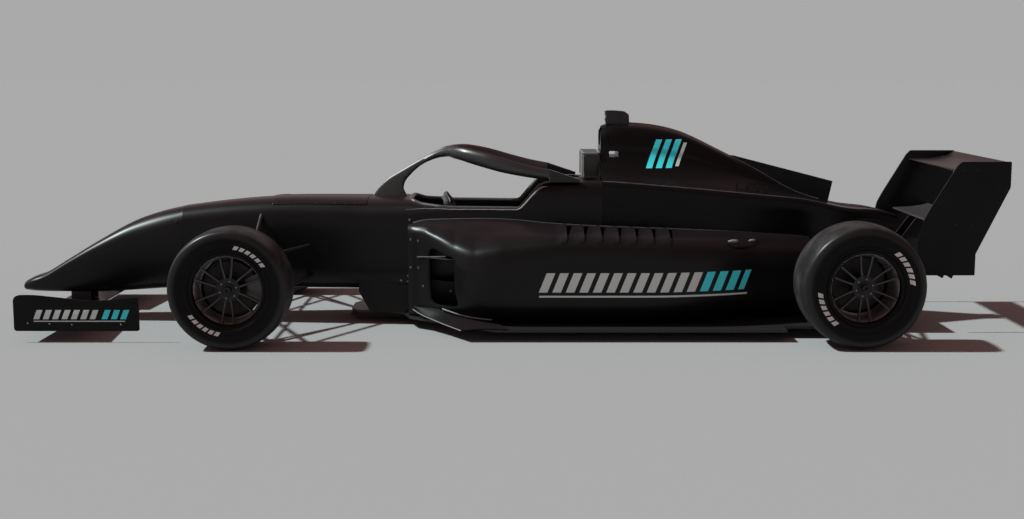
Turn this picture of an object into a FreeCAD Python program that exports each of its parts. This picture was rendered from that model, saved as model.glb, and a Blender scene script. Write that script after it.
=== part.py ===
"""Single-seat open wheel racing car with a halo, in millimetres.

The nose points towards -X, the car's left side faces -Y and +Z is up. The
origin is on the ground, under the middle of the car's outline.
"""

import FreeCAD, Part
import math
import os
from FreeCAD import Placement, Rotation, Vector

doc = FreeCAD.newDocument("OpenWheelCar")

# Driving dimensions: lengths in millimetres, angles in degrees, counts plain
SIZES = {
    # The car as a whole
    "overall_width": 1850,
    "wheelbase": 2900,
    "front_overhang": 1223,
    "rear_overhang": 795,
    "seat_gap": 0.3,
    "running_gap": 0.3,
    "moving_gap": 5,
    "cut_overrun": 60,
    "panel_wall": 10,
    # Wheels and tyres
    "front_tyre_radius": 280,
    "front_tyre_width": 250,
    "rear_tyre_radius": 290,
    "rear_tyre_width": 300,
    "tyre_bead_inset": 14,
    "tyre_shoulder_drop": 20,
    "tyre_shoulder_inset": 4,
    "tyre_tread_inset": 26,
    "tyre_bead_height": 3,
    "rim_radius": 164,
    "rim_wall": 8,
    "rim_flange_radius": 175,
    "rim_flange_width": 7,
    "spoke_thickness": 14,
    "spoke_width": 10,
    "spoke_pairs": 6,
    "spoke_pair_angle": 17,
    "spoke_inset": 9,
    "spoke_dish": 24,
    "window_hub_margin": 16,
    "window_rim_margin": 3,
    "hub_radius": 56,
    "hub_cap_thickness": 9,
    "hub_inner_radius": 46,
    "spindle_radius": 30,
    "wheel_nut_side": 34,
    "wheel_nut_height": 20,
    "disc_radius": 122,
    "disc_thickness": 24,
    # Front suspension and steering
    "kingpin_inset": 65,
    "front_upper_joint_rise": 100,
    "front_lower_joint_drop": 105,
    "ball_joint_radius": 16,
    "ball_joint_height": 24,
    "arm_chord": 28,
    "arm_depth": 15,
    "front_upper_inner_height": 402,
    "front_lower_inner_height": 252,
    "front_arm_front_reach": 284,
    "front_arm_rear_reach": 322,
    "front_arm_inner_y": 120,
    "upright_length": 68,
    "upright_inner_depth": 20,
    "upright_outer_depth": 43,
    "upright_height": 124,
    "caliper_angle": 58,
    "caliper_inner_radius": 80,
    "caliper_cheek": 14,
    "caliper_bridge": 20,
    "steering_arm_length": 90,
    "steering_arm_width": 26,
    "steering_arm_thickness": 12,
    "steering_arm_drop": 6,
    "track_rod_radius": 8,
    "rod_eye_radius": 15,
    "rod_eye_height": 22,
    "pushrod_radius": 11,
    "front_pushrod_top_height": 560,
    "front_pushrod_top_y": 150,
    "front_pushrod_lean": 38,
    "front_pushrod_foot_inset": 105,
    "gusset_thickness": 11,
    "gusset_outer_inset": 50,
    "gusset_inner_inset": 120,
    # Nose and monocoque
    "nose_length": 852,
    "nose_underside": 141,
    "tub_length": 2111,
    "tub_half_width": 290,
    "tub_underside": 165,
    "tub_crest": 629,
    "keel_front_x_back": 896,
    "keel_slope_run": 57,
    "keel_half_width": 222,
    "keel_top": 300,
    "cowl_height": 623,
    "rim_front_height": 603,
    "rim_height": 587,
    "rim_front_back": 1208,
    "rim_ramp_back": 1705,
    "rim_ramp_run": 114,
    "surround_height": 720,
    "cockpit_front_back": 1157,
    "cockpit_front_half_width": 150,
    "cockpit_half_width": 222,
    "cockpit_taper_run": 150,
    "cockpit_rear_half_width": 190,
    "cockpit_rear_taper": 190,
    "cockpit_rear_wall": 99,
    "cockpit_floor": 95,
    "cockpit_corner": 60,
    "footwell_half_width": 138,
    "footwell_floor": 215,
    "footwell_roof": 500,
    "footwell_length": 740,
    # Cockpit furniture
    "column_angle": 25,
    "steering_wheel_back": 1310,
    "steering_wheel_height": 545,
    "steering_wheel_width": 270,
    "steering_wheel_depth": 178,
    "steering_wheel_thickness": 26,
    "steering_wheel_corner": 52,
    "wheel_window_width": 50,
    "wheel_window_depth": 70,
    "column_radius": 12,
    "column_length": 210,
    "column_support_thickness": 20,
    "column_support_depth": 80,
    "seat_half_width": 190,
    "seat_shell": 16,
    "seat_front_back": 1590,
    "headrest_height": 151,
    "headrest_length": 99,
    "headrest_half_width": 150,
    "headrest_pad_wing": 45,
    "headrest_corner": 14,
    # Halo
    "halo_tube_radius": 25,
    "halo_crest": 862,
    "halo_front_back": 1352,
    "halo_half_width": 250,
    "halo_rear_back": 1850,
    "halo_end_height": 757,
    "halo_foot_length": 150,
    "halo_foot_height": 24,
    "halo_foot_width": 40,
    "halo_pillar_thickness": 26,
    # Engine cover, airbox and fin
    "cover_tail_reach": 361,
    "cover_bottom": 440,
    "cover_crest": 1003,
    "cover_half_width": 292,
    "airbox_half_width": 118,
    "inlet_half_width": 84,
    "inlet_half_height": 50,
    "inlet_height": 938,
    "inlet_length": 230,
    "roll_hoop_length": 36,
    "roll_hoop_base": 868,
    "hoop_window_front": 39,
    "hoop_window_height": 848,
    "hoop_window_length": 62,
    "hoop_window_depth": 34,
    "fin_front_back": 677,
    "fin_length": 520,
    "fin_front_height": 838,
    "fin_rear_height": 704,
    "fin_thickness": 8,
    "camera_front_back": 31,
    "camera_length": 122,
    "camera_height": 62,
    "camera_half_width": 34,
    "camera_plinth": 7,
    # Sidepods, floor, plank and diffuser
    "sidepod_half_width": 620,
    "sidepod_inner_y": 250,
    "sidepod_front_back": 1137,
    "sidepod_tail_gap": 133,
    "sidepod_crest": 551,
    "sidepod_corner": 34,
    "inlet_tip_back": 1159,
    "inlet_tip_y": 340,
    "inlet_sweep_run": 331,
    "inlet_vane_height": 375,
    "louvre_count": 7,
    "louvre_pitch": 84,
    "louvre_slot": 12,
    "louvre_width": 190,
    "louvre_front_back": 1876,
    "louvre_y": 440,
    "radiator_thickness": 60,
    "radiator_width": 240,
    "radiator_height": 330,
    "radiator_back": 1800,
    "radiator_y": 430,
    "floor_top": 60,
    "floor_thickness": 12,
    "floor_half_width": 700,
    "floor_rear_half_width": 600,
    "floor_bib_back": 844,
    "floor_bib_half_width": 150,
    "floor_tyre_clearance": 20,
    "plank_thickness": 24,
    "plank_half_width": 150,
    "diffuser_axle_gap": 36,
    "diffuser_tail_gap": 273,
    "diffuser_rise": 190,
    "diffuser_half_width": 460,
    "diffuser_thickness": 10,
    "strake_thickness": 6,
    "strake_count": 6,
    "strake_end_height": 70,
    # Engine, gearbox and rear structure
    "engine_bay_share": 0.48154,
    "engine_half_width": 195,
    "engine_height": 520,
    "gearbox_half_width": 108,
    "gearbox_bottom": 150,
    "gearbox_top": 420,
    "gearbox_tail_reach": 86,
    "crash_box_tail_gap": 249,
    "crash_box_end_half_width": 60,
    "crash_box_end_bottom": 330,
    "rain_light_length": 26,
    "rain_light_half_width": 36,
    "rain_light_height": 84,
    # Rear suspension
    "rear_upright_inset": 82,
    "rear_upright_thickness": 58,
    "rear_upright_radius": 62,
    "rear_joint_rise": 100,
    "rear_joint_drop": 105,
    "rear_arm_front_reach": 118,
    "rear_arm_rear_reach": 96,
    "rear_upper_inner_height": 398,
    "rear_lower_inner_height": 200,
    "toe_link_reach": 92,
    "toe_link_drop": 60,
    "driveshaft_radius": 15,
    "driveshaft_flange_radius": 44,
    "driveshaft_flange_length": 40,
    "driveshaft_boot_length": 90,
    "rear_pushrod_top_height": 408,
    "rear_pushrod_lean": 80,
    # Rear wing
    "rear_wing_half_span": 450,
    "rear_endplate_thickness": 12,
    "rear_endplate_top": 835,
    "rear_endplate_bottom": 282,
    "rear_endplate_length": 488,
    "rear_endplate_corner": 22,
    "rear_main_lead_back": 246,
    "rear_main_lead_height": 787,
    "rear_main_chord": 190,
    "rear_main_angle": 6,
    "rear_flap_lead_back": 78,
    "rear_flap_lead_height": 788,
    "rear_flap_chord": 82,
    "rear_flap_angle": 32,
    "beam_lead_back": 326,
    "beam_lead_height": 520,
    "beam_chord": 194,
    "beam_angle": 8,
    "rear_pylon_y": 60,
    "rear_pylon_thickness": 10,
    # Front wing
    "front_wing_half_span": 700,
    "front_endplate_thickness": 10,
    "front_endplate_back": 176,
    "front_endplate_length": 590,
    "front_endplate_bottom": 55,
    "front_endplate_top": 227,
    "front_main_lead_back": 199,
    "front_main_lead_height": 92,
    "front_main_chord": 248,
    "front_main_angle": 2,
    "front_flap_inner_y": 190,
    "front_flap_chord": 98,
    "front_flap_slot_overlap": 37,
    "front_flap_slot_rise": 14,
    "front_flap_angle": 22,
    "front_pylon_y": 62,
    "front_pylon_thickness": 12,
    "front_pylon_back": 256,
    "front_pylon_length": 96,
    # Places worked out from the sizes above
    "nose_tip_x": "=-(front_overhang + wheelbase + rear_overhang) / 2",
    "front_axle_x": "=nose_tip_x + front_overhang",
    "rear_axle_x": "=front_axle_x + wheelbase",
    "tail_x": "=rear_axle_x + rear_overhang",
    "front_wheel_y": "=overall_width / 2 - front_tyre_width / 2",
    "rear_wheel_y": "=overall_width / 2 - rear_tyre_width / 2",
    "kingpin_y": "=front_wheel_y - kingpin_inset",
    "rear_upright_y": "=rear_wheel_y - rear_upright_inset",
    "tub_front_x": "=nose_tip_x + nose_length",
    "bulkhead_x": "=tub_front_x + tub_length",
    "engine_length": "=(rear_axle_x + gearbox_tail_reach - bulkhead_x) * engine_bay_share",
    "gearbox_x": "=bulkhead_x + engine_length",
    "gearbox_length": "=rear_axle_x + gearbox_tail_reach - gearbox_x",
    "crash_box_x": "=gearbox_x + gearbox_length",
    "crash_box_length": "=tail_x - crash_box_tail_gap - crash_box_x",
    "cover_length": "=rear_axle_x + cover_tail_reach - bulkhead_x",
    "sidepod_x": "=tub_front_x + sidepod_front_back",
    "sidepod_length": "=rear_axle_x - sidepod_tail_gap - sidepod_x",
    "diffuser_x": "=rear_axle_x + diffuser_axle_gap",
    "diffuser_length": "=tail_x - diffuser_tail_gap - diffuser_x",
    "spindle_bore": "=spindle_radius + running_gap",
    "rim_inner_radius": "=rim_radius - rim_wall",
}

sheet = doc.addObject("Spreadsheet::Sheet", "Sizes")
for row, (alias, content) in enumerate(SIZES.items(), start=1):
    sheet.set(f"A{row}", alias)
    sheet.set(f"B{row}", str(content))
    sheet.setAlias(f"B{row}", alias)
doc.recompute()


class Sheet:
    """Reads each named size from the spreadsheet as a plain number."""

    def __getattr__(self, alias):
        return float(sheet.get(alias))


size = Sheet()

# Outlines and sections as shares of the sizes they follow
# Each nose station: along the length, half width, top, underside, roundness
NOSE_SHARES = [
    (0.0, 0.24, 0.075, 0.025, 2.0),
    (0.012, 0.37, 0.105, 0.012, 2.2),
    (0.05, 0.5, 0.15, 0.004, 2.4),
    (0.142, 0.62, 0.216, 0.0, 2.6),
    (0.3, 0.7, 0.396, 0.0, 2.8),
    (0.5, 0.79, 0.629, 0.0, 3.0),
    (0.7, 0.88, 0.836, 0.014, 3.2),
    (0.85, 0.945, 0.934, 0.033, 3.4),
    (1.0, 1.0, 1.0, 0.055, 3.6),
]
NOSE_JOINT_TOP_SHARE = 0.894
NOSE_JOINT_WIDTH_SHARE = 0.545

# Each monocoque station: along the length, half width, top, roundness
TUB_SHARES = [
    (0.0, 0.545, 0.894, 3.6),
    (0.074, 0.578, 0.937, 3.7),
    (0.146, 0.62, 0.97, 3.8),
    (0.266, 0.7, 1.0, 3.9),
    (0.345, 0.757, 1.0, 4.0),
    (0.455, 0.845, 0.998, 4.0),
    (0.572, 0.94, 1.02, 4.2),
    (0.714, 0.997, 1.13, 4.6),
    (0.856, 1.0, 1.25, 5.0),
    (1.0, 0.985, 1.28, 5.0),
]

# Each cover station: along the length, airbox half width, crest, shoulder
# half width, shoulder height, bottom, the heights above the cover's bottom
COVER_SHARES = [
    (0.0, 0.97, 0.966, 0.976, 0.497, 0.0),
    (0.03, 0.985, 0.995, 0.98, 0.494, 0.0),
    (0.12, 1.0, 0.999, 0.993, 0.467, 0.0),
    (0.26, 0.86, 0.931, 1.0, 0.426, 0.0),
    (0.392, 0.66, 0.769, 0.983, 0.394, 0.0),
    (0.523, 0.42, 0.586, 0.945, 0.366, 0.0),
    (0.655, 0.27, 0.385, 0.873, 0.339, 0.0),
    (0.82, 0.25, 0.285, 0.66, 0.27, 0.02),
    (1.0, 0.25, 0.214, 0.34, 0.195, 0.071),
]
# The cover's outline, as shares across from airbox to shoulder, and of the
# rise from shoulder to crest
COVER_CREST_WIDTH_SHARE = 0.72
COVER_CREST_DROP_SHARE = 0.1
COVER_SIDE_DROP_SHARE = 0.36
COVER_WAIST_SHARES = (0.06, 0.42)
COVER_FILLET_SHARES = (0.3, 0.09)
COVER_SHOULDER_SHARES = (0.86, 0.035)
COVER_EDGE_DROP_SHARE = 0.3
COVER_CAVITY_TOP_SHARE = 0.9
COVER_CAVITY_POWER = 4.0

# Each sidepod station: along the length, outer half width, inner top, outer
# top (heights above the floor), width of the foot
SIDEPOD_SHARES = [
    (0.0, 0.97, 0.98, 0.765, 0.66),
    (0.11, 0.995, 0.992, 0.795, 0.74),
    (0.19, 1.0, 1.0, 0.845, 0.85),
    (0.28, 1.0, 0.985, 0.875, 0.93),
    (0.37, 1.0, 0.93, 0.89, 0.985),
    (0.5, 1.0, 0.905, 0.87, 0.99),
    (0.65, 0.985, 0.885, 0.845, 0.975),
    (0.8, 0.86, 0.86, 0.81, 0.85),
    (0.92, 0.68, 0.83, 0.765, 0.66),
    (1.0, 0.575, 0.81, 0.735, 0.55),
]

# Halo tube, from the front crest to the rear end: along, across, height
HALO_SHARES = [
    (0.0, 0.0, 1.0),
    (0.045, 0.42, 0.995),
    (0.19, 0.8, 0.96),
    (0.42, 0.98, 0.68),
    (0.72, 1.0, 0.27),
    (1.0, 1.0, 0.0),
]
# Halo pillar seen from the side, front edge up and rear edge down: forward
# of the halo's crest, in shares of the pillar's run, and up its rise
PILLAR_SHARES = [
    (1.0, -0.1),
    (1.0, 0.02),
    (0.795, 0.355),
    (0.625, 0.52),
    (0.37, 0.77),
    (0.165, 0.93),
    (0.02, 1.0),
    (0.02, 0.86),
    (0.17, 0.84),
    (0.375, 0.7),
    (0.49, 0.56),
    (0.585, 0.4),
    (0.63, 0.25),
    (0.57, 0.02),
    (0.57, -0.1),
]
PILLAR_RUN_SHARE = 1.53

# Four digit wing section thickness terms, for the square root and powers
SECTION_TERM_SHARES = (0.2969, -0.126, -0.3516, 0.2843, -0.1015)
SECTION_POINT_SHARES = (0.0, 0.02, 0.08, 0.2, 0.4, 0.65, 1.0)
WING_THICKNESS_SHARE = 0.11
WING_CAMBER_SHARE = -0.07
FLAP_THICKNESS_SHARE = 0.1
FLAP_CAMBER_SHARE = -0.06
FLAP_ROOT_CHORD_SHARE = 0.72

# Floor, endplates and other flat outlines
FRONT_ENDPLATE_TOP_SHARES = [
    (0.0, 0.7),
    (0.07, 0.98),
    (0.14, 1.0),
    (0.36, 0.93),
    (0.61, 0.845),
    (0.82, 0.875),
    (1.0, 0.94),
]
REAR_ENDPLATE_SHARES = [
    (0.167, 0.0),
    (0.583, 0.0),
    (0.733, 0.02),
    (0.737, 0.197),
    (1.0, 0.775),
    (1.0, 1.0),
    (0.533, 1.0),
    (0.508, 0.95),
    (0.292, 0.494),
    (0.163, 0.289),
]
REAR_PYLON_SHARES = [(0.64, 0.0), (0.95, 0.0), (1.2, 1.0), (0.8, 1.0)]
# The bib's nose and the floor's neck behind it, as shares of the bib
BIB_CORNER_SHARE = 0.25
FLOOR_NECK_RUN_SHARE = 0.62
FLOOR_NECK_WIDTH_SHARE = 1.06
INLET_ROUNDNESS = 2.4
SEAT_SHARES = [(0.0, 0.36), (0.28, 0.2), (0.45, 0.1), (0.6, 0.14), (0.78, 0.5), (1.0, 1.0)]

PIECES = []


def keep(thing, name):
    """Labels a finished sub-part and lists it for writing."""
    thing.Label = name
    PIECES.append(thing)
    return thing


def bind(thing, **expressions):
    """Ties properties to cells of the spreadsheet."""
    for prop, expression in expressions.items():
        thing.setExpression(prop, expression)
    return thing


def feature(name, shape):
    """A plain shape as an object of the document."""
    thing = doc.addObject("Part::Feature", name)
    thing.Shape = shape
    return thing


def mirrored(thing):
    """The same piece on the other side of the car."""
    twin = doc.addObject("Part::Mirroring", thing.Name + "Twin")
    twin.Source = thing
    twin.Normal = Vector(0, 1, 0)
    return twin


def group(name, things):
    """Like pieces that share one node and don't touch."""
    compound = doc.addObject("Part::Compound", name)
    compound.Links = things
    return keep(compound, name)


def pair(name, thing):
    """A right-hand piece and its left-hand twin as one node."""
    return group(name, [thing, mirrored(thing)])


def cut(name, base, tools):
    """A base with every tool taken away."""
    for number, tool in enumerate(tools):
        step = doc.addObject("Part::Cut", f"{name}Cut{number}")
        step.Base = base
        step.Tool = tool
        step.Refine = False
        base = step
    return base


def fuse(name, shapes):
    """Several objects joined into one."""
    joined = doc.addObject("Part::MultiFuse", name + "Joined")
    joined.Shapes = shapes
    joined.Refine = False
    return joined


def box(name, corner, extent):
    """A block from its low corner and its three lengths."""
    block = doc.addObject("Part::Box", name)
    block.Length, block.Width, block.Height = extent
    block.Placement.Base = Vector(*corner)
    return block


def rod(name, start, end, radius):
    """A round bar between two points."""
    bar = doc.addObject("Part::Cylinder", name)
    run = end - start
    bar.Radius = radius
    bar.Height = run.Length
    bar.Placement = Placement(start, Rotation(Vector(0, 0, 1), run))
    return bar


def blade(name, start, end, chord, depth):
    """A streamlined suspension leg: a flat oval carried between two points."""
    run = end - start
    across = Vector(0, 0, 1).cross(run).normalize()
    turn = Rotation(across, Vector(0, 0, 1), run, "ZXY")
    oval = Part.Ellipse(Vector(), chord / 2, depth / 2).toShape()
    face = Part.Face(Part.Wire([oval]))
    leg = face.extrude(Vector(0, 0, run.Length))
    leg.Placement = Placement(start, turn)
    return feature(name, leg)


def corner_outline(points, radii):
    """A closed outline through points, each corner rounded by its radius."""
    count = len(points)
    starts = []
    ends = []
    arcs = []
    for index in range(count):
        here = Vector(*points[index], 0)
        before = Vector(*points[index - 1], 0)
        after = Vector(*points[(index + 1) % count], 0)
        radius = radii[index]
        back = (before - here).normalize()
        ahead = (after - here).normalize()
        half = back.getAngle(ahead) / 2
        if radius == 0:
            starts.append(here)
            ends.append(here)
            arcs.append(None)
            continue
        reach = radius / math.tan(half)
        bisector = (back + ahead).normalize()
        centre = here + bisector * (radius / math.sin(half))
        first = here + back * reach
        last = here + ahead * reach
        starts.append(first)
        ends.append(last)
        arcs.append(Part.Arc(first, centre - bisector * radius, last))
    outline = []
    for index in range(count):
        if arcs[index]:
            outline.append(arcs[index])
        outline.append(Part.LineSegment(ends[index], starts[(index + 1) % count]))
    return outline


def polygon(points):
    """A closed outline of straight lines."""
    return corner_outline(points, [0] * len(points))


def plane(body, role):
    """One of the body's own origin planes or axes."""
    return next(item for item in body.Origin.OriginFeatures if item.Role == role)


def draw(body, role, outline):
    """A sketch on one of the body's origin planes."""
    sketch = body.newObject("Sketcher::SketchObject", body.Name + "Sketch")
    sketch.AttachmentSupport = (plane(body, role), "")
    sketch.MapMode = "FlatFace"
    for curve in outline:
        sketch.addGeometry(curve, False)
    return sketch


def pad(body, role, outline, length, symmetric=False, start=None, against=False):
    """Pads an outline by a length given as an expression."""
    sketch = draw(body, role, outline)
    if start:
        sketch.setExpression("AttachmentOffset.Base.z", start)
    padded = body.newObject("PartDesign::Pad", body.Name + "Pad")
    padded.Profile = sketch
    padded.setExpression("Length", length)
    padded.SideType = "Symmetric" if symmetric else "One side"
    padded.Reversed = against
    return padded


def revolve(body, role, outline, axis, angle=360.0, symmetric=False):
    """Turns an outline about one of its sketch's axes."""
    sketch = draw(body, role, outline)
    turned = body.newObject("PartDesign::Revolution", body.Name + "Turn")
    turned.Profile = sketch
    turned.ReferenceAxis = (sketch, [axis])
    turned.Angle = angle
    turned.Midplane = symmetric
    return turned


def section_ring(x, half_width, top, bottom, power, grow=0.0):
    """A closed superellipse section in the plane at x, with its flat-sided
    shape set by the power. The size can grow all round by a clearance."""
    middle = (top + bottom) / 2
    half_height = (top - bottom) / 2 + grow
    half_width = half_width + grow
    steps = 28
    points = []
    for index in range(steps):
        angle = math.tau * index / steps
        across = math.copysign(abs(math.sin(angle)) ** (2 / power), math.sin(angle))
        upward = math.copysign(abs(math.cos(angle)) ** (2 / power), math.cos(angle))
        points.append(Vector(x, half_width * across, middle + half_height * upward))
    curve = Part.BSplineCurve()
    curve.interpolate(Points=points, PeriodicFlag=True)
    return Part.Wire([curve.toShape()])


def loft(wires, ruled=False):
    """A solid through closed wires."""
    return Part.makeLoft(wires, True, ruled)


def wing_section(chord, lead_x, lead_z, angle, thickness, camber):
    """A cambered wing section as drawn from the side: two curves that meet at
    the leading edge, and the blunt trailing edge."""
    upper = []
    lower = []
    for along in SECTION_POINT_SHARES:
        powers = [math.sqrt(along)] + [along ** index for index in range(1, 5)]
        half = 5 * thickness * sum(a * b for a, b in zip(SECTION_TERM_SHARES, powers))
        mean = 4 * camber * along * (1 - along)
        upper.append((along, mean + half))
        lower.append((along, mean - half))
    turn = math.radians(angle)

    def place(point):
        along, rise = point[0] * chord, point[1] * chord
        x = lead_x + along * math.cos(turn) - rise * math.sin(turn)
        z = lead_z + along * math.sin(turn) + rise * math.cos(turn)
        return Vector(x, z, 0)

    curve = Part.BSplineCurve()
    curve.interpolate([place(point) for point in upper[::-1] + lower[1:]])
    return [curve, Part.LineSegment(place(lower[-1]), place(upper[-1]))]


def upright_wire(outline, y=0.0):
    """An outline drawn from the side, stood up in the plane at y."""
    wire = Part.Wire(Part.__sortEdges__([curve.toShape() for curve in outline]))
    wire.Placement = Placement(Vector(0, y, 0), Rotation(Vector(1, 0, 0), 90))
    return wire


def hull(grow=0.0):
    """Outer surface of the monocoque, grown all round by a clearance."""
    height = size.tub_crest - size.tub_underside
    wires = []
    for along, width, top, power in TUB_SHARES:
        wires.append(
            section_ring(
                size.tub_front_x + along * size.tub_length,
                width * size.tub_half_width,
                size.tub_underside + top * height,
                size.tub_underside,
                power,
                grow,
            )
        )
    return loft(wires)


def nose_shell():
    """Outer surface of the nose cone."""
    joint_top = size.tub_underside + NOSE_JOINT_TOP_SHARE * (
        size.tub_crest - size.tub_underside
    )
    height = joint_top - size.nose_underside
    half_width = NOSE_JOINT_WIDTH_SHARE * size.tub_half_width
    wires = []
    for along, width, top, under, power in NOSE_SHARES:
        wires.append(
            section_ring(
                size.nose_tip_x + along * size.nose_length,
                width * half_width,
                size.nose_underside + top * height,
                size.nose_underside + under * height,
                power,
            )
        )
    return loft(wires)


def cover_station(share, grow=0.0):
    """One bell-shaped cross section of the engine cover."""
    along, airbox, crest, shoulder, shoulder_height, bottom = share
    height = size.cover_crest - size.cover_bottom
    x = size.bulkhead_x + along * size.cover_length
    half = airbox * size.airbox_half_width + grow
    top = size.cover_bottom + crest * height + grow
    wide = shoulder * size.cover_half_width + grow
    level = size.cover_bottom + shoulder_height * height + grow
    low = size.cover_bottom + bottom * height - grow
    rise = top - level
    waist_across, waist_up = COVER_WAIST_SHARES
    fillet_across, fillet_up = COVER_FILLET_SHARES
    shoulder_across, shoulder_up = COVER_SHOULDER_SHARES
    side = [
        (half * COVER_CREST_WIDTH_SHARE, top - rise * COVER_CREST_DROP_SHARE),
        (half, top - rise * COVER_SIDE_DROP_SHARE),
        (half + (wide - half) * waist_across, level + rise * (1 - waist_up) * waist_up),
        (half + (wide - half) * fillet_across, level + rise * fillet_up),
        (half + (wide - half) * shoulder_across, level - (level - low) * shoulder_up),
        (wide, level - (level - low) * COVER_EDGE_DROP_SHARE),
        (wide, low),
    ]
    right = [Vector(x, y, z) for y, z in side]
    left = [Vector(x, -y, z) for y, z in reversed(side)]
    curve = Part.BSplineCurve()
    curve.interpolate(left + [Vector(x, 0, top)] + right)
    sill = Part.LineSegment(right[-1], left[0])
    return Part.Wire([curve.toShape(), sill.toShape()])


def cover_shell(grow=0.0):
    """Outer surface of the engine cover and airbox."""
    return loft([cover_station(share, grow) for share in COVER_SHARES])


def cover_cavity():
    """The room under the engine cover, open at both ends and below."""
    height = size.cover_crest - size.cover_bottom
    wires = []
    for along, _, _, shoulder, shoulder_height, _ in COVER_SHARES:
        level = size.cover_bottom + shoulder_height * height
        past_end = size.cut_overrun * (math.floor(along) - math.floor(1 - along))
        top = size.cover_bottom + shoulder_height * height * COVER_CAVITY_TOP_SHARE
        wires.append(
            section_ring(
                size.bulkhead_x + along * size.cover_length + past_end,
                shoulder * size.cover_half_width - size.panel_wall,
                top - size.panel_wall,
                2 * size.floor_top - level,
                COVER_CAVITY_POWER,
            )
        )
    return loft(wires)


def make_monocoque():
    """Carbon monocoque: shaped hull, keel, cockpit, footwell and rack tunnel."""
    body_hull = feature("TubHull", hull())
    front = size.tub_front_x
    profile = doc.addObject("PartDesign::Body", "TubProfile")
    low = size.tub_underside - size.cut_overrun
    high = size.tub_crest + size.cut_overrun
    points = [
        (front, low),
        (size.bulkhead_x, low),
        (size.bulkhead_x, size.surround_height),
        (front + size.rim_ramp_back + size.rim_ramp_run, size.surround_height),
        (front + size.rim_ramp_back, size.rim_height),
        (front + size.rim_front_back + size.cockpit_taper_run, size.rim_height),
        (front + size.rim_front_back, size.rim_front_height),
        (front + size.cockpit_front_back, size.cowl_height),
        (front + size.cockpit_front_back - size.cockpit_taper_run, high),
        (front, high),
    ]
    corner = size.cockpit_corner
    radii = [0, 0, 0, corner / 2, corner / 2, 0, 0, 0, 0, 0]
    pad(profile, "XZ_Plane", corner_outline(points, radii),
        "2 * (Sizes.tub_half_width + Sizes.cut_overrun)", symmetric=True)
    trimmed = doc.addObject("Part::Common", "TubTrimmed")
    trimmed.Base = body_hull
    trimmed.Tool = profile
    trimmed.Refine = False

    keel = doc.addObject("PartDesign::Body", "TubKeel")
    keel_x = front + size.keel_front_x_back
    points = [
        (keel_x, size.keel_top),
        (keel_x, size.tub_underside),
        (keel_x + size.keel_slope_run, size.floor_top),
        (size.bulkhead_x, size.floor_top),
        (size.bulkhead_x, size.keel_top),
    ]
    pad(keel, "XZ_Plane", polygon(points), "2 * Sizes.keel_half_width", symmetric=True)

    opening = doc.addObject("PartDesign::Body", "CockpitOpening")
    start = front + size.cockpit_front_back
    end = size.bulkhead_x - size.cockpit_rear_wall
    half = size.cockpit_half_width
    narrow = size.cockpit_front_half_width
    rear = size.cockpit_rear_half_width
    points = [
        (start, -narrow),
        (start + size.cockpit_taper_run, -half),
        (end - size.cockpit_rear_taper, -half),
        (end, -rear),
        (end, rear),
        (end - size.cockpit_rear_taper, half),
        (start + size.cockpit_taper_run, half),
        (start, narrow),
    ]
    pad(opening, "XY_Plane", corner_outline(points, [corner] * len(points)),
        "Sizes.surround_height", start="Sizes.cockpit_floor")

    footwell = bind(
        box("Footwell", (0, 0, 0), (1, 1, 1)),
        Length="Sizes.footwell_length + Sizes.cut_overrun",
        Width="2 * Sizes.footwell_half_width",
        Height="Sizes.footwell_roof - Sizes.footwell_floor",
    )
    footwell.Placement.Base = Vector(
        start - size.footwell_length, -size.footwell_half_width, size.footwell_floor
    )
    tunnel_radius = size.track_rod_radius + size.moving_gap
    tunnel = rod("RackTunnel", *rack_line(), tunnel_radius)
    joined = fuse("Tub", [trimmed, keel])
    return keep(cut("Tub", joined, [opening, footwell, tunnel]), "monocoque")


def rack_line():
    """Centre line of the steering rack, from the right to the left rod eye."""
    x = size.front_axle_x - size.steering_arm_length
    arm_top = size.front_tyre_radius - size.steering_arm_drop
    z = arm_top + size.seat_gap + size.rod_eye_height / 2
    return Vector(x, size.kingpin_y, z), Vector(x, -size.kingpin_y, z)


def make_nose():
    """Nose cone with its crash structure, bolted to the front bulkhead."""
    return keep(feature("Nose", nose_shell()), "nose_cone")


def place_wheel(thing, x, y, radius, side):
    """Puts a wheel piece drawn about the Y axis on its axle."""
    turn = Rotation(Vector(0, 0, 1), 0 if side > 0 else 180)
    thing.Placement = Placement(Vector(x, side * y, radius), turn)


def make_tyre(name, radius, width, x, y, side):
    """Slick racing tyre: bead, bulging side wall, shoulder and flat tread."""
    half = width / 2
    bead = half - size.tyre_bead_inset
    inner = size.rim_radius + size.seat_gap
    wall_foot = size.rim_flange_radius + size.tyre_bead_height
    wall_top = radius - size.tyre_shoulder_drop
    wall_edge = half - size.tyre_shoulder_inset
    tread = half - size.tyre_tread_inset
    knee = math.sqrt(2) / 2
    knee_r = wall_top + (radius - wall_top) * knee
    knee_y = tread + (wall_edge - tread) * knee
    middle = (wall_foot + wall_top) / 2

    def point(r, across):
        return Vector(r, across, 0)

    outline = []
    for hand in (1, -1):
        outline.append(Part.LineSegment(point(inner, hand * bead), point(wall_foot, hand * bead)))
        outline.append(
            Part.Arc(
                point(wall_foot, hand * bead),
                point(middle, hand * half),
                point(wall_top, hand * wall_edge),
            )
        )
        outline.append(
            Part.Arc(
                point(wall_top, hand * wall_edge),
                point(knee_r, hand * knee_y),
                point(radius, hand * tread),
            )
        )
    outline.append(Part.LineSegment(point(radius, -tread), point(radius, tread)))
    outline.append(Part.LineSegment(point(inner, -bead), point(inner, bead)))
    body = doc.addObject("PartDesign::Body", name)
    revolve(body, "XY_Plane", outline, "V_Axis")
    place_wheel(body, x, y, radius, side)
    return keep(body, name)


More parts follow.
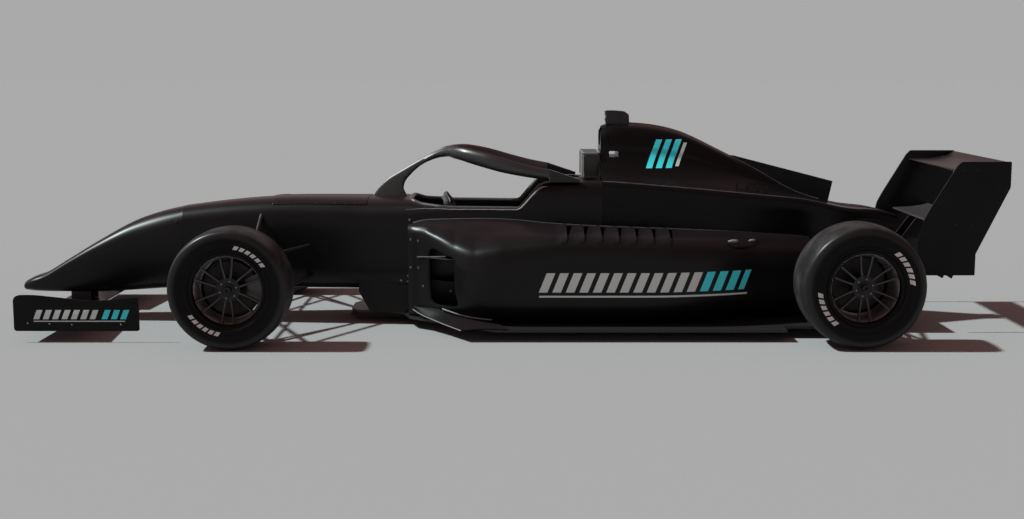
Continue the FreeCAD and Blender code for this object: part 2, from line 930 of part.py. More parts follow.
def wheel_window(middle, half_angle, inner, outer):
    """One opening between two spokes: straight sides, a round end at the hub
    and an arc along the rim."""
    slim = size.spoke_width / 2

    def polar(radius, angle):
        turn = math.radians(angle)
        return Vector(radius * math.cos(turn), radius * math.sin(turn), 0)

    near_angle = half_angle - math.degrees(slim / inner)
    far_angle = half_angle - math.degrees(slim / outer)
    near_low = polar(inner, middle - near_angle)
    near_high = polar(inner, middle + near_angle)
    far_low = polar(outer, middle - far_angle)
    far_high = polar(outer, middle + far_angle)
    bulge = inner - inner * math.sin(math.radians(near_angle))
    hub_end = polar(max(bulge, size.hub_radius + slim), middle)
    return [
        Part.LineSegment(far_low, near_low),
        Part.Arc(near_low, hub_end, near_high),
        Part.LineSegment(near_high, far_high),
        Part.Arc(far_high, polar(outer, middle), far_low),
    ]


def make_rim(name, radius, width, x, y, side, hub_start, disc_y):
    """Thirteen inch wheel: barrel, six pairs of spokes, hub, nut and disc."""
    body = doc.addObject("PartDesign::Body", name)
    edge = width / 2 - size.tyre_bead_inset + size.seat_gap + size.rim_flange_width
    inner = size.rim_inner_radius
    flange = edge - size.rim_flange_width
    barrel = [
        (inner, -edge),
        (size.rim_flange_radius, -edge),
        (size.rim_flange_radius, -flange),
        (size.rim_radius, -flange),
        (size.rim_radius, flange),
        (size.rim_flange_radius, flange),
        (size.rim_flange_radius, edge),
        (inner, edge),
    ]
    revolve(body, "XY_Plane", polygon(barrel), "V_Axis")
    face = edge - size.spoke_inset
    hub_face = face - size.spoke_dish
    sink = size.rim_wall / 2
    web = [
        (size.hub_inner_radius, hub_face - size.spoke_thickness),
        (inner + sink, face - size.spoke_thickness),
        (inner + sink, face),
        (size.hub_inner_radius, hub_face),
    ]
    revolve(body, "XY_Plane", polygon(web), "V_Axis")
    near = size.hub_radius + size.window_hub_margin
    far = inner - size.window_rim_margin
    pitch = 360 / size.spoke_pairs
    wide = (pitch - size.spoke_pair_angle) / 2
    outline = wheel_window(90 + pitch / 2, wide, near, far)
    outline += wheel_window(90, size.spoke_pair_angle / 2, near + size.window_hub_margin, far)
    sketch = draw(body, "XZ_Plane", outline)
    windows = body.newObject("PartDesign::Pocket", name + "Windows")
    windows.Profile = sketch
    windows.Type = 1
    windows.SideType = "Symmetric"
    pattern = body.newObject("PartDesign::PolarPattern", name + "Spokes")
    pattern.Originals = [windows]
    pattern.Axis = (plane(body, "Y_Axis"), [""])
    pattern.Angle = 360
    bind(pattern, Occurrences="Sizes.spoke_pairs")
    body.Tip = pattern
    cap = hub_face - size.hub_cap_thickness
    half_disc = size.disc_thickness / 2
    hub = [
        (0, hub_face),
        (0, cap),
        (size.spindle_bore, cap),
        (size.spindle_bore, hub_start),
        (size.hub_inner_radius, hub_start),
        (size.hub_inner_radius, disc_y - half_disc),
        (size.disc_radius, disc_y - half_disc),
        (size.disc_radius, disc_y + half_disc),
        (size.hub_inner_radius, disc_y + half_disc),
        (size.hub_inner_radius, hub_face - size.spoke_thickness),
        (size.hub_radius, hub_face - size.spoke_thickness),
        (size.hub_radius, hub_face),
    ]
    if hub_start >= disc_y - half_disc:
        hub = hub[:3] + [(size.spindle_bore, disc_y - half_disc)] + hub[6:]
    revolve(body, "XY_Plane", polygon(hub), "V_Axis")
    nut = size.wheel_nut_side / 2
    square = [(-nut, -nut), (nut, -nut), (nut, nut), (-nut, nut)]
    sketch = draw(body, "XZ_Plane", corner_outline(square, [nut / 4] * 4))
    sketch.AttachmentOffset = Placement(Vector(0, 0, -hub_face), Rotation())
    stud = body.newObject("PartDesign::Pad", name + "Nut")
    stud.Profile = sketch
    stud.Reversed = True
    bind(stud, Length="Sizes.wheel_nut_height")
    place_wheel(body, x, y, radius, side)
    return keep(body, name)


def spindle_end():
    """How far outboard of the wheel's centre the front spindle reaches."""
    edge = size.front_tyre_width / 2 - size.tyre_bead_inset + size.seat_gap + size.rim_flange_width
    hub_face = edge - size.spoke_inset - size.spoke_dish
    return hub_face - size.hub_cap_thickness - size.running_gap


def make_wheels():
    """Four wheels, each a tyre and a rim that turn together."""
    front = (size.front_tyre_radius, size.front_tyre_width, size.front_axle_x, size.front_wheel_y)
    rear = (size.rear_tyre_radius, size.rear_tyre_width, size.rear_axle_x, size.rear_wheel_y)
    front_hub = size.upright_outer_depth - size.kingpin_inset + size.moving_gap
    rear_hub = size.rear_upright_thickness / 2 - size.rear_upright_inset + size.moving_gap
    half_disc = size.disc_thickness / 2
    for hand, side in (("left", -1), ("right", 1)):
        make_tyre(f"front_tyre_{hand}", *front, side)
        make_rim(f"front_rim_{hand}", *front, side, front_hub, front_hub + size.moving_gap + half_disc)
        make_tyre(f"rear_tyre_{hand}", *rear, side)
        make_rim(f"rear_rim_{hand}", *rear, side, rear_hub, rear_hub + size.moving_gap + half_disc)


def make_knuckle(hand, side):
    """Front upright with its spindle, steering arm and brake caliper, turning
    about the line through the two ball joints."""
    name = f"Knuckle{hand.title()}"
    axle = size.front_tyre_radius
    x = size.front_axle_x
    lower = axle - size.front_lower_joint_drop + size.ball_joint_height / 2 + size.seat_gap
    upper = axle + size.front_upper_joint_rise - size.ball_joint_height / 2 - size.seat_gap
    king = size.kingpin_y
    post = rod(name + "Post", Vector(x, king, lower), Vector(x, king, upper), size.ball_joint_radius - 2 * size.seat_gap)
    block = box(
        name + "Block",
        (x - size.upright_length / 2, king - size.upright_inner_depth, axle - size.upright_height / 2),
        (size.upright_length, size.upright_inner_depth + size.upright_outer_depth, size.upright_height),
    )
    tip = size.front_wheel_y + spindle_end()
    spindle = rod(name + "Spindle", Vector(x, king, axle), Vector(x, tip, axle), size.spindle_radius)
    half = size.steering_arm_width / 2
    arm = box(
        name + "Arm",
        (x - size.steering_arm_length, king - half, axle - size.steering_arm_drop - size.steering_arm_thickness),
        (size.steering_arm_length, size.steering_arm_width, size.steering_arm_thickness),
    )
    arm_end = rod(
        name + "ArmEnd",
        Vector(x - size.steering_arm_length, king, axle - size.steering_arm_drop - size.steering_arm_thickness),
        Vector(x - size.steering_arm_length, king, axle - size.steering_arm_drop),
        half + size.running_gap,
    )
    caliper = make_caliper(name, x, axle)
    whole = fuse(name, [post, block, spindle, arm, arm_end, caliper])
    if side < 0:
        whole = mirrored(whole)
    return keep(whole, f"front_knuckle_{hand}")


def make_caliper(name, x, axle):
    """Brake caliper: a C-shaped bridge over the disc, swept round the axle."""
    body = doc.addObject("PartDesign::Body", name + "Caliper")
    hub = size.upright_outer_depth - size.kingpin_inset + size.moving_gap
    disc_inner = hub + size.moving_gap
    disc_outer = disc_inner + size.disc_thickness
    gap = size.moving_gap
    inner_cheek = disc_inner - gap - size.caliper_cheek
    outer_cheek = disc_outer + gap + size.caliper_cheek
    reach = size.disc_radius + gap
    outline = [
        (size.caliper_inner_radius, inner_cheek),
        (reach + size.caliper_bridge, inner_cheek),
        (reach + size.caliper_bridge, outer_cheek),
        (size.caliper_inner_radius, outer_cheek),
        (size.caliper_inner_radius, disc_outer + gap),
        (reach, disc_outer + gap),
        (reach, disc_inner - gap),
        (size.caliper_inner_radius, disc_inner - gap),
    ]
    revolve(body, "XY_Plane", polygon(outline), "V_Axis", size.caliper_angle, symmetric=True)
    body.Placement.Base = Vector(x, size.front_wheel_y, axle)
    bracket = box(
        name + "Bracket",
        (x, size.front_wheel_y + inner_cheek - gap, axle - size.upright_height / 4),
        (
            size.caliper_inner_radius + size.caliper_cheek,
            size.caliper_cheek,
            size.upright_height / 2,
        ),
    )
    return fuse(name + "Brake", [body, bracket])


def a_arm(name, outer, front, rear, gusset=False):
    """A wishbone: two streamlined legs that meet in the ball joint's housing."""
    chord = size.arm_chord
    depth = size.arm_depth
    half = Vector(0, 0, size.ball_joint_height / 2)
    sink = size.ball_joint_radius / 2
    front_root = outer + (front - outer).normalize() * sink
    rear_root = outer + (rear - outer).normalize() * sink
    parts = [
        rod(name + "Joint", outer - half, outer + half, size.ball_joint_radius),
        blade(name + "Front", front_root, front, chord, depth),
        blade(name + "Rear", rear_root, rear, chord, depth),
    ]
    if gusset:
        parts.append(make_gusset(name, outer, front, rear))
    return fuse(name, parts)


def make_gusset(name, outer, front, rear):
    """Flat plate across a lower wishbone, where the pushrod stands."""
    run = outer.y - front.y
    out_share = size.gusset_outer_inset / run
    in_share = size.gusset_inner_inset / run
    corners = [
        outer + (front - outer) * out_share,
        outer + (rear - outer) * out_share,
        outer + (rear - outer) * in_share,
        outer + (front - outer) * in_share,
    ]
    level = corners[0].z
    flat = [Vector(corner.x, corner.y, level) for corner in corners]
    plate = Part.Face(Part.makePolygon(flat + flat[:1]))
    return feature(name + "Gusset", plate.extrude(Vector(0, 0, size.gusset_thickness)))


def front_arm_points():
    """Ball joints and inner ends of the right-hand front wishbones."""
    x = size.front_axle_x
    upper = Vector(x, size.kingpin_y, size.front_tyre_radius + size.front_upper_joint_rise)
    lower = Vector(x, size.kingpin_y, size.front_tyre_radius - size.front_lower_joint_drop)

    def inner(reach, height):
        return Vector(x + reach, size.front_arm_inner_y, height)

    high = size.front_upper_inner_height
    low = size.front_lower_inner_height
    return (
        (upper, inner(-size.front_arm_front_reach, high), inner(size.front_arm_rear_reach, high)),
        (lower, inner(-size.front_arm_front_reach, low), inner(size.front_arm_rear_reach, low)),
    )


def make_front_suspension():
    """Double wishbones and pushrods that end on the monocoque's sides."""
    upper, lower = front_arm_points()
    near_tub = feature("TubSeat", hull(size.seat_gap))
    pieces = []
    for name, points, gusset in (("UpperArm", upper, False), ("LowerArm", lower, True)):
        arm = cut("Front" + name, a_arm("Front" + name, *points, gusset), [near_tub])
        pieces += [arm, mirrored(arm)]
    group("front_wishbones", pieces)
    outer, front, rear = lower
    share = size.front_pushrod_foot_inset / (outer.y - front.y)
    foot_z = outer.z + (front.z - outer.z) * size.gusset_outer_inset / (outer.y - front.y)
    foot_z += size.gusset_thickness + size.seat_gap
    foot = Vector(outer.x, outer.y + (front.y - outer.y) * share, foot_z)
    top = Vector(outer.x + size.front_pushrod_lean, size.front_pushrod_top_y, size.front_pushrod_top_height)
    shaft = rod("FrontPushrodShaft", foot, top, size.pushrod_radius)
    boss = rod("FrontPushrodBoss", foot, foot + Vector(0, 0, size.ball_joint_height), size.ball_joint_radius)
    below = box(
        "FrontPushrodTrim",
        foot - Vector(size.cut_overrun, size.cut_overrun, size.cut_overrun),
        (2 * size.cut_overrun, 2 * size.cut_overrun, size.cut_overrun),
    )
    strut = cut("FrontPushrod", fuse("FrontPushrod", [shaft, boss]), [below, feature("TubTopSeat", hull(size.seat_gap))])
    pair("front_pushrods", strut)


def make_steering():
    """Track rods with the rack between them, and the steering wheel."""
    right, left = rack_line()
    bar = rod("RackBar", left, right, size.track_rod_radius)
    half = Vector(0, 0, size.rod_eye_height / 2)
    eyes = [rod("RodEye" + name, end - half, end + half, size.rod_eye_radius) for name, end in (("Right", right), ("Left", left))]
    keep(fuse("TrackRods", [bar] + eyes), "track_rods")

    centre = Vector(size.tub_front_x + size.steering_wheel_back, 0, size.steering_wheel_height)
    tilt = Rotation(Vector(0, 1, 0), 90 - size.column_angle)
    wheel = doc.addObject("PartDesign::Body", "SteeringWheel")
    across = size.steering_wheel_width / 2
    deep = size.steering_wheel_depth / 2
    rim = [(-deep, -across), (deep, -across), (deep, across), (-deep, across)]
    outline = corner_outline(rim, [size.steering_wheel_corner] * 4)
    pad(wheel, "XY_Plane", outline, "Sizes.steering_wheel_thickness", symmetric=True)
    grip = across - size.wheel_window_width / 2 - size.steering_wheel_corner / 2
    half_window = size.wheel_window_width / 2
    tall = size.wheel_window_depth / 2
    holes = []
    for side in (-1, 1):
        middle = side * grip
        hole = [(-tall, middle - half_window), (tall, middle - half_window), (tall, middle + half_window), (-tall, middle + half_window)]
        holes += corner_outline(hole, [half_window / 2] * 4)
    sketch = draw(wheel, "XY_Plane", holes)
    openings = wheel.newObject("PartDesign::Pocket", "GripOpenings")
    openings.Profile = sketch
    openings.Type = 1
    openings.SideType = "Symmetric"
    circle = [Part.Circle(Vector(), Vector(0, 0, 1), size.column_radius)]
    pad(wheel, "XY_Plane", circle, "Sizes.column_length", against=True)
    wheel.Placement = Placement(centre, tilt)
    keep(wheel, "steering_wheel")

    start = size.tub_front_x + size.cockpit_front_back - size.column_support_thickness
    support = box(
        "ColumnPlate",
        (start, -size.footwell_half_width, size.footwell_roof - size.column_support_depth),
        (size.column_support_thickness, 2 * size.footwell_half_width, size.column_support_depth),
    )
    along = tilt.multVec(Vector(0, 0, 1))
    bore = rod(
        "ColumnBore",
        centre - along * size.column_length * 2,
        centre,
        size.column_radius + size.running_gap,
    )
    keep(cut("ColumnSupport", support, [bore]), "steering_column_support")


def make_seat():
    """Reclined seat shell that follows the driver's back."""
    start = size.tub_front_x + size.seat_front_back
    end = size.bulkhead_x - size.cockpit_rear_wall - size.headrest_pad_wing
    run = end - start
    height = size.rim_height - size.cockpit_floor
    top = [(start + a * run, size.cockpit_floor + b * height) for a, b in SEAT_SHARES]
    upper = Part.BSplineCurve()
    upper.interpolate([Vector(x, z, 0) for x, z in top])
    outline = [
        upper,
        Part.LineSegment(Vector(*top[-1], 0), Vector(end + size.seat_shell, top[-1][1], 0)),
        Part.LineSegment(
            Vector(end + size.seat_shell, top[-1][1], 0),
            Vector(end + size.seat_shell, size.cockpit_floor, 0),
        ),
        Part.LineSegment(
            Vector(end + size.seat_shell, size.cockpit_floor, 0), Vector(start, size.cockpit_floor, 0)
        ),
        Part.LineSegment(Vector(start, size.cockpit_floor, 0), Vector(*top[0], 0)),
    ]
    body = doc.addObject("PartDesign::Body", "Seat")
    pad(body, "XZ_Plane", outline, "2 * Sizes.seat_half_width", symmetric=True)
    return keep(body, "seat")


def make_headrest():
    """Padded block in front of the roll hoop, on top of the monocoque."""
    body = doc.addObject("PartDesign::Body", "Headrest")
    half = size.headrest_half_width
    start = size.bulkhead_x - size.headrest_length
    outline = [(start, -half), (size.bulkhead_x, -half), (size.bulkhead_x, half), (start, half)]
    corner = size.headrest_corner
    pad(body, "XY_Plane", corner_outline(outline, [corner, 0, 0, corner]),
        "Sizes.headrest_height", start="Sizes.surround_height")
    return keep(body, "headrest")


def make_halo():
    """Halo: a bent tube round the driver's head, a pillar and two feet."""
    front = size.tub_front_x + size.halo_front_back
    rear = size.tub_front_x + size.halo_rear_back
    run = rear - front
    drop = size.halo_crest - size.halo_end_height

    def spot(share, side):
        along, across, height = share
        return Vector(
            front + along * run,
            side * across * size.halo_half_width,
            size.halo_end_height + height * drop,
        )

    points = [spot(share, -1) for share in reversed(HALO_SHARES)]
    points += [spot(share, 1) for share in HALO_SHARES[1:]]
    path = Part.BSplineCurve()
    path.interpolate(points)
    start_way = path.tangent(path.FirstParameter)[0]
    ring = Part.Wire([Part.Circle(points[0], start_way, size.halo_tube_radius).toShape()])
    tube = Part.Wire([path.toShape()]).makePipeShell([ring], True, False)

    pillar_run = PILLAR_RUN_SHARE * (size.tub_half_width - size.halo_tube_radius)
    rise = size.halo_crest + size.halo_tube_radius / 2 - size.cowl_height
    outline = [(front - a * pillar_run, size.cowl_height + b * rise) for a, b in PILLAR_SHARES]
    body = doc.addObject("PartDesign::Body", "HaloPillar")
    pad(body, "XZ_Plane", polygon(outline), "Sizes.halo_pillar_thickness", symmetric=True)
    under = feature("HaloSeat", hull(size.seat_gap))
    pillar = cut("Pillar", body, [under])
    past = box(
        "HaloEndTrim",
        (rear, -2 * size.halo_half_width, size.surround_height),
        (size.cut_overrun, 4 * size.halo_half_width, size.halo_crest),
    )
    return keep(cut("Halo", fuse("Halo", [feature("HaloTube", tube), pillar]), [past]), "halo")


def make_halo_feet():
    """Tapered metal brackets that carry the halo's rear ends."""
    rear = size.tub_front_x + size.halo_rear_back
    half = size.halo_foot_width / 2
    low = size.surround_height
    high = size.halo_end_height + size.halo_tube_radius
    points = [
        (rear + size.seat_gap, low),
        (rear + size.halo_foot_length, low),
        (rear + size.halo_foot_length, low + size.halo_foot_height / 2),
        (rear + size.seat_gap, high),
    ]
    body = doc.addObject("PartDesign::Body", "HaloFoot")
    sketch = draw(body, "XZ_Plane", polygon(points))
    sketch.AttachmentOffset = Placement(Vector(0, 0, -size.halo_half_width - half), Rotation())
    padded = body.newObject("PartDesign::Pad", "HaloFootPad")
    padded.Profile = sketch
    bind(padded, Length="Sizes.halo_foot_width")
    return pair("halo_feet", body)


def make_engine_cover():
    """Engine cover with its airbox, and the roll hoop in its front."""
    shell = feature("CoverShell", cover_shell())
    cavity = feature("CoverCavity", cover_cavity())
    x = size.bulkhead_x
    hoop_cut = box(
        "HoopRegion",
        (x - size.cut_overrun, -size.cover_half_width, size.roll_hoop_base),
        (size.cut_overrun + size.roll_hoop_length, 2 * size.cover_half_width, size.cover_crest),
    )
    small = size.inlet_half_height / 2
    roof = size.inlet_height + size.inlet_half_height
    sill = size.inlet_height - size.inlet_half_height
    wires = [
        section_ring(x - size.cut_overrun, size.inlet_half_width, roof, sill, INLET_ROUNDNESS),
        section_ring(x, size.inlet_half_width, roof, sill, INLET_ROUNDNESS),
        section_ring(x + size.inlet_length, small, size.inlet_height + small / 2, sill, INLET_ROUNDNESS),
    ]
    duct = feature("InletDuct", loft(wires, ruled=True))
    window = doc.addObject("PartDesign::Body", "HoopWindow")
    left = x + size.hoop_window_front
    low = size.hoop_window_height - size.hoop_window_depth / 2
    high = size.hoop_window_height + size.hoop_window_depth / 2
    slant = size.hoop_window_depth / 2
    right = left + size.hoop_window_length
    points = [(left, low), (right + slant, low), (right, high), (left, high)]
    pad(window, "XZ_Plane", polygon(points), "2 * Sizes.cover_half_width", symmetric=True)
    cover = cut("Cover", shell, [cavity, hoop_cut, duct, window])
    keep(cover, "engine_cover")
    region = doc.addObject("Part::Common", "HoopBlank")
    region.Base = shell
    region.Tool = hoop_cut
    region.Refine = False
    keep(cut("Hoop", region, [duct]), "roll_hoop")


def make_fin():
    """Thin upright fin along the spine of the engine cover."""
    x = size.bulkhead_x + size.fin_front_back
    points = [
        (x, size.fin_front_height),
        (x + size.fin_length, size.fin_rear_height),
        (x + size.fin_length - size.cut_overrun / 2, size.cover_bottom + size.cut_overrun * 2),
        (x, size.cover_bottom + size.cut_overrun * 2),
    ]
    body = doc.addObject("PartDesign::Body", "Fin")
    pad(body, "XZ_Plane", polygon(points), "Sizes.fin_thickness", symmetric=True)
    return keep(cut("Fin", body, [feature("FinSeat", cover_shell(size.seat_gap))]), "shark_fin")


def make_camera():
    """Camera housing on a small plinth over the airbox."""
    x = size.bulkhead_x + size.camera_front_back
    top = size.cover_crest + size.camera_height
    half = size.camera_half_width
    base = size.cover_crest + size.camera_plinth
    drop = size.camera_plinth
    points = [
        (x, base),
        (x + size.camera_length, base),
        (x + size.camera_length, top - drop * 2),
        (x + size.camera_length / 2, top),
        (x, top - drop),
    ]
    body = doc.addObject("PartDesign::Body", "Camera")
    corner = size.headrest_corner / 2
    pad(body, "XZ_Plane", corner_outline(points, [corner, corner, corner, 0, corner]),
        "2 * Sizes.camera_half_width", symmetric=True)
    plinth = box(
        "CameraPlinth",
        (x + half / 2, -half / 2, base - size.cut_overrun),
        (size.camera_length - half, half, size.cut_overrun),
    )
    whole = fuse("Camera", [body, plinth])
    return keep(cut("Camera", whole, [feature("CameraSeat", cover_shell(size.seat_gap))]), "camera_pod")


def sidepod_wire(share, wall=0.0):
    """One cross section of a right-hand sidepod, drawn inside by a wall."""
    along, outer, inner_top, outer_top, foot = share
    x = size.sidepod_x + along * size.sidepod_length
    height = size.sidepod_crest - size.floor_top
    low = size.floor_top + wall
    inner = size.sidepod_inner_y + wall
    wide = outer * size.sidepod_half_width - wall
    base = foot * size.sidepod_half_width - wall
    points = [
        (inner, low),
        (base, low),
        (wide, size.floor_top + outer_top * height * foot - wall - size.sidepod_corner),
        (wide, size.floor_top + outer_top * height - wall),
        (inner, size.floor_top + inner_top * height - wall),
    ]
    corner = size.sidepod_corner - wall
    outline = corner_outline(points, [0, corner, 2 * corner, corner, 0])
    wire = Part.Wire([curve.toShape() for curve in outline])
    wire.Placement = Placement(Vector(x, 0, 0), Rotation(Vector(1, 1, 1), 120))
    return wire


def make_sidepods():
    """Sidepods: hollow shells with swept inlets, louvres and open tails."""
    outside = feature("PodOutside", loft([sidepod_wire(share) for share in SIDEPOD_SHARES]))
    inside = feature("PodInside", loft([sidepod_wire(share, size.panel_wall) for share in SIDEPOD_SHARES]))
    near_tub = feature("PodTubSeat", hull(size.seat_gap))
    keel_room = box(
        "PodKeelRoom",
        (size.tub_front_x, 0, 0),
        (size.tub_length, size.keel_half_width + size.seat_gap, size.surround_height),
    )
    near_cover = feature("PodCoverSeat", cover_shell(size.seat_gap))
    tip_x = size.tub_front_x + size.inlet_tip_back
    sweep = size.inlet_sweep_run / (size.sidepod_half_width - size.inlet_tip_y)
    far_y = size.sidepod_half_width + size.cut_overrun
    far_x = tip_x + (far_y - size.inlet_tip_y) * sweep
    near_x = tip_x - (size.inlet_tip_y - size.keel_half_width) * sweep
    inlet = doc.addObject("PartDesign::Body", "InletCut")
    points = [
        (near_x, size.keel_half_width),
        (far_x, far_y),
        (tip_x - 2 * size.cut_overrun, far_y),
        (tip_x - 2 * size.cut_overrun, size.keel_half_width),
    ]
    pad(inlet, "XY_Plane", polygon(points), "Sizes.surround_height + Sizes.cut_overrun")
    slots = []
    for index in range(int(size.louvre_count)):
        slots.append(
            box(
                f"Louvre{index}",
                (
                    size.tub_front_x + size.louvre_front_back + index * size.louvre_pitch,
                    size.louvre_y - size.louvre_width / 2,
                    size.inlet_vane_height,
                ),
                (size.louvre_slot, size.louvre_width, size.surround_height),
            )
        )
    louvres = doc.addObject("Part::Compound", "Louvres")
    louvres.Links = slots
    pod = cut("Pod", outside, [inside, near_tub, keel_room, near_cover, inlet, louvres])
    keep(pod, "sidepod_right")
    keep(mirrored(pod), "sidepod_left")
    core = box(
        "RadiatorCore",
        (
            size.tub_front_x + size.radiator_back,
            size.radiator_y - size.radiator_width / 2,
            size.floor_top + size.panel_wall,
        ),
        (size.radiator_thickness, size.radiator_width, size.radiator_height),
    )
    pair("radiators", core)


def make_floor():
    """Flat floor with its forward bib, swept leading edges and tyre cut-outs."""
    front = size.tub_front_x + size.floor_bib_back
    lead = size.tub_front_x + size.inlet_tip_back
    edge = size.floor_half_width
    bib = size.floor_bib_half_width
    run = lead - front
    side_front = lead + size.inlet_sweep_run * (edge - size.inlet_tip_y) / (
        size.sidepod_half_width - size.inlet_tip_y
    )
    tyre = size.rear_axle_x - size.rear_tyre_radius - size.floor_tyre_clearance
    rear = size.diffuser_x
    half = [
        (front, bib / 2),
        (front + bib * BIB_CORNER_SHARE, bib),
        (front + run * FLOOR_NECK_RUN_SHARE, bib * FLOOR_NECK_WIDTH_SHARE),
        (lead - bib * BIB_CORNER_SHARE, size.keel_half_width),
        (lead, size.inlet_tip_y),
        (side_front, edge),
        (tyre, edge),
        (tyre, size.floor_rear_half_width),
        (rear, size.floor_rear_half_width),
    ]
    points = half + [(x, -y) for x, y in reversed(half)]
    body = doc.addObject("PartDesign::Body", "Floor")
    sketch = draw(body, "XY_Plane", polygon(points))
    sketch.setExpression("AttachmentOffset.Base.z", "Sizes.floor_top - Sizes.floor_thickness")
    padded = body.newObject("PartDesign::Pad", "FloorPad")
    padded.Profile = sketch
    bind(padded, Length="Sizes.floor_thickness")
    keep(body, "floor")

    plank = doc.addObject("PartDesign::Body", "Plank")
    top = size.floor_top - size.floor_thickness
    low = top - size.plank_thickness
    points = [
        (front + bib * BIB_CORNER_SHARE, top),
        (front, top - size.plank_thickness / 2),
        (front + bib * BIB_CORNER_SHARE, low),
        (rear, low),
        (rear, top),
    ]
    pad(plank, "XZ_Plane", polygon(points), "2 * Sizes.plank_half_width", symmetric=True)
    keep(plank, "skid_plank")


def make_diffuser():
    """Rising diffuser with upright strakes under it."""
    start = size.diffuser_x
    end = start + size.diffuser_length
    low = size.floor_top - size.floor_thickness
    thick = size.diffuser_thickness
    high = low + size.diffuser_rise
    half = size.diffuser_half_width
    body = doc.addObject("PartDesign::Body", "Diffuser")
    roof = [(start, low), (end, high), (end, high + thick), (start, low + thick)]
    pad(body, "XZ_Plane", polygon(roof), "2 * Sizes.diffuser_half_width", symmetric=True)
    pieces = [body]
    count = int(size.strake_count)
    for index in range(count):
        y = -half + index * (2 * half - size.strake_thickness) / (count - 1)
        points = [
            (start, low),
            (end, high - size.strake_end_height),
            (end, high),
            (start, low + thick / 2),
        ]
        face = Part.Face(upright_wire(polygon(points), y + size.strake_thickness))
        pieces.append(feature(f"Strake{index}", face.extrude(Vector(0, -size.strake_thickness, 0))))
    keep(fuse("DiffuserAll", pieces), "diffuser")


def make_powertrain():
    """Engine as one block, gearbox, crash box and rain light."""
    x = size.bulkhead_x
    engine = bind(
        box("Engine", (x, -size.engine_half_width, size.floor_top), (1, 1, 1)),
        Length="Sizes.engine_length",
        Width="2 * Sizes.engine_half_width",
        Height="Sizes.engine_height",
    )
    keep(engine, "engine_block")
    start = size.gearbox_x
    half = size.gearbox_half_width
    gearbox = bind(
        box("Gearbox", (start, -half, size.gearbox_bottom), (1, 1, 1)),
        Length="Sizes.gearbox_length",
        Width="2 * Sizes.gearbox_half_width",
        Height="Sizes.gearbox_top - Sizes.gearbox_bottom",
    )
    keep(gearbox, "gearbox")
    end = size.crash_box_x
    tip = end + size.crash_box_length

    def frame(at, half_width, low, high):
        corners = [
            Vector(at, -half_width, low),
            Vector(at, half_width, low),
            Vector(at, half_width, high),
            Vector(at, -half_width, high),
        ]
        return Part.makePolygon(corners + corners[:1])

    crash = loft([
        frame(end, half, (size.gearbox_bottom + size.gearbox_top) / 2, size.gearbox_top),
        frame(tip, size.crash_box_end_half_width, size.crash_box_end_bottom, size.gearbox_top),
    ], ruled=True)
    keep(feature("CrashBox", crash), "crash_structure")
    light = box(
        "RainLight",
        (tip, -size.rain_light_half_width, size.gearbox_top - size.rain_light_height),
        (size.rain_light_length, 2 * size.rain_light_half_width, size.rain_light_height),
    )
    keep(light, "rain_light")


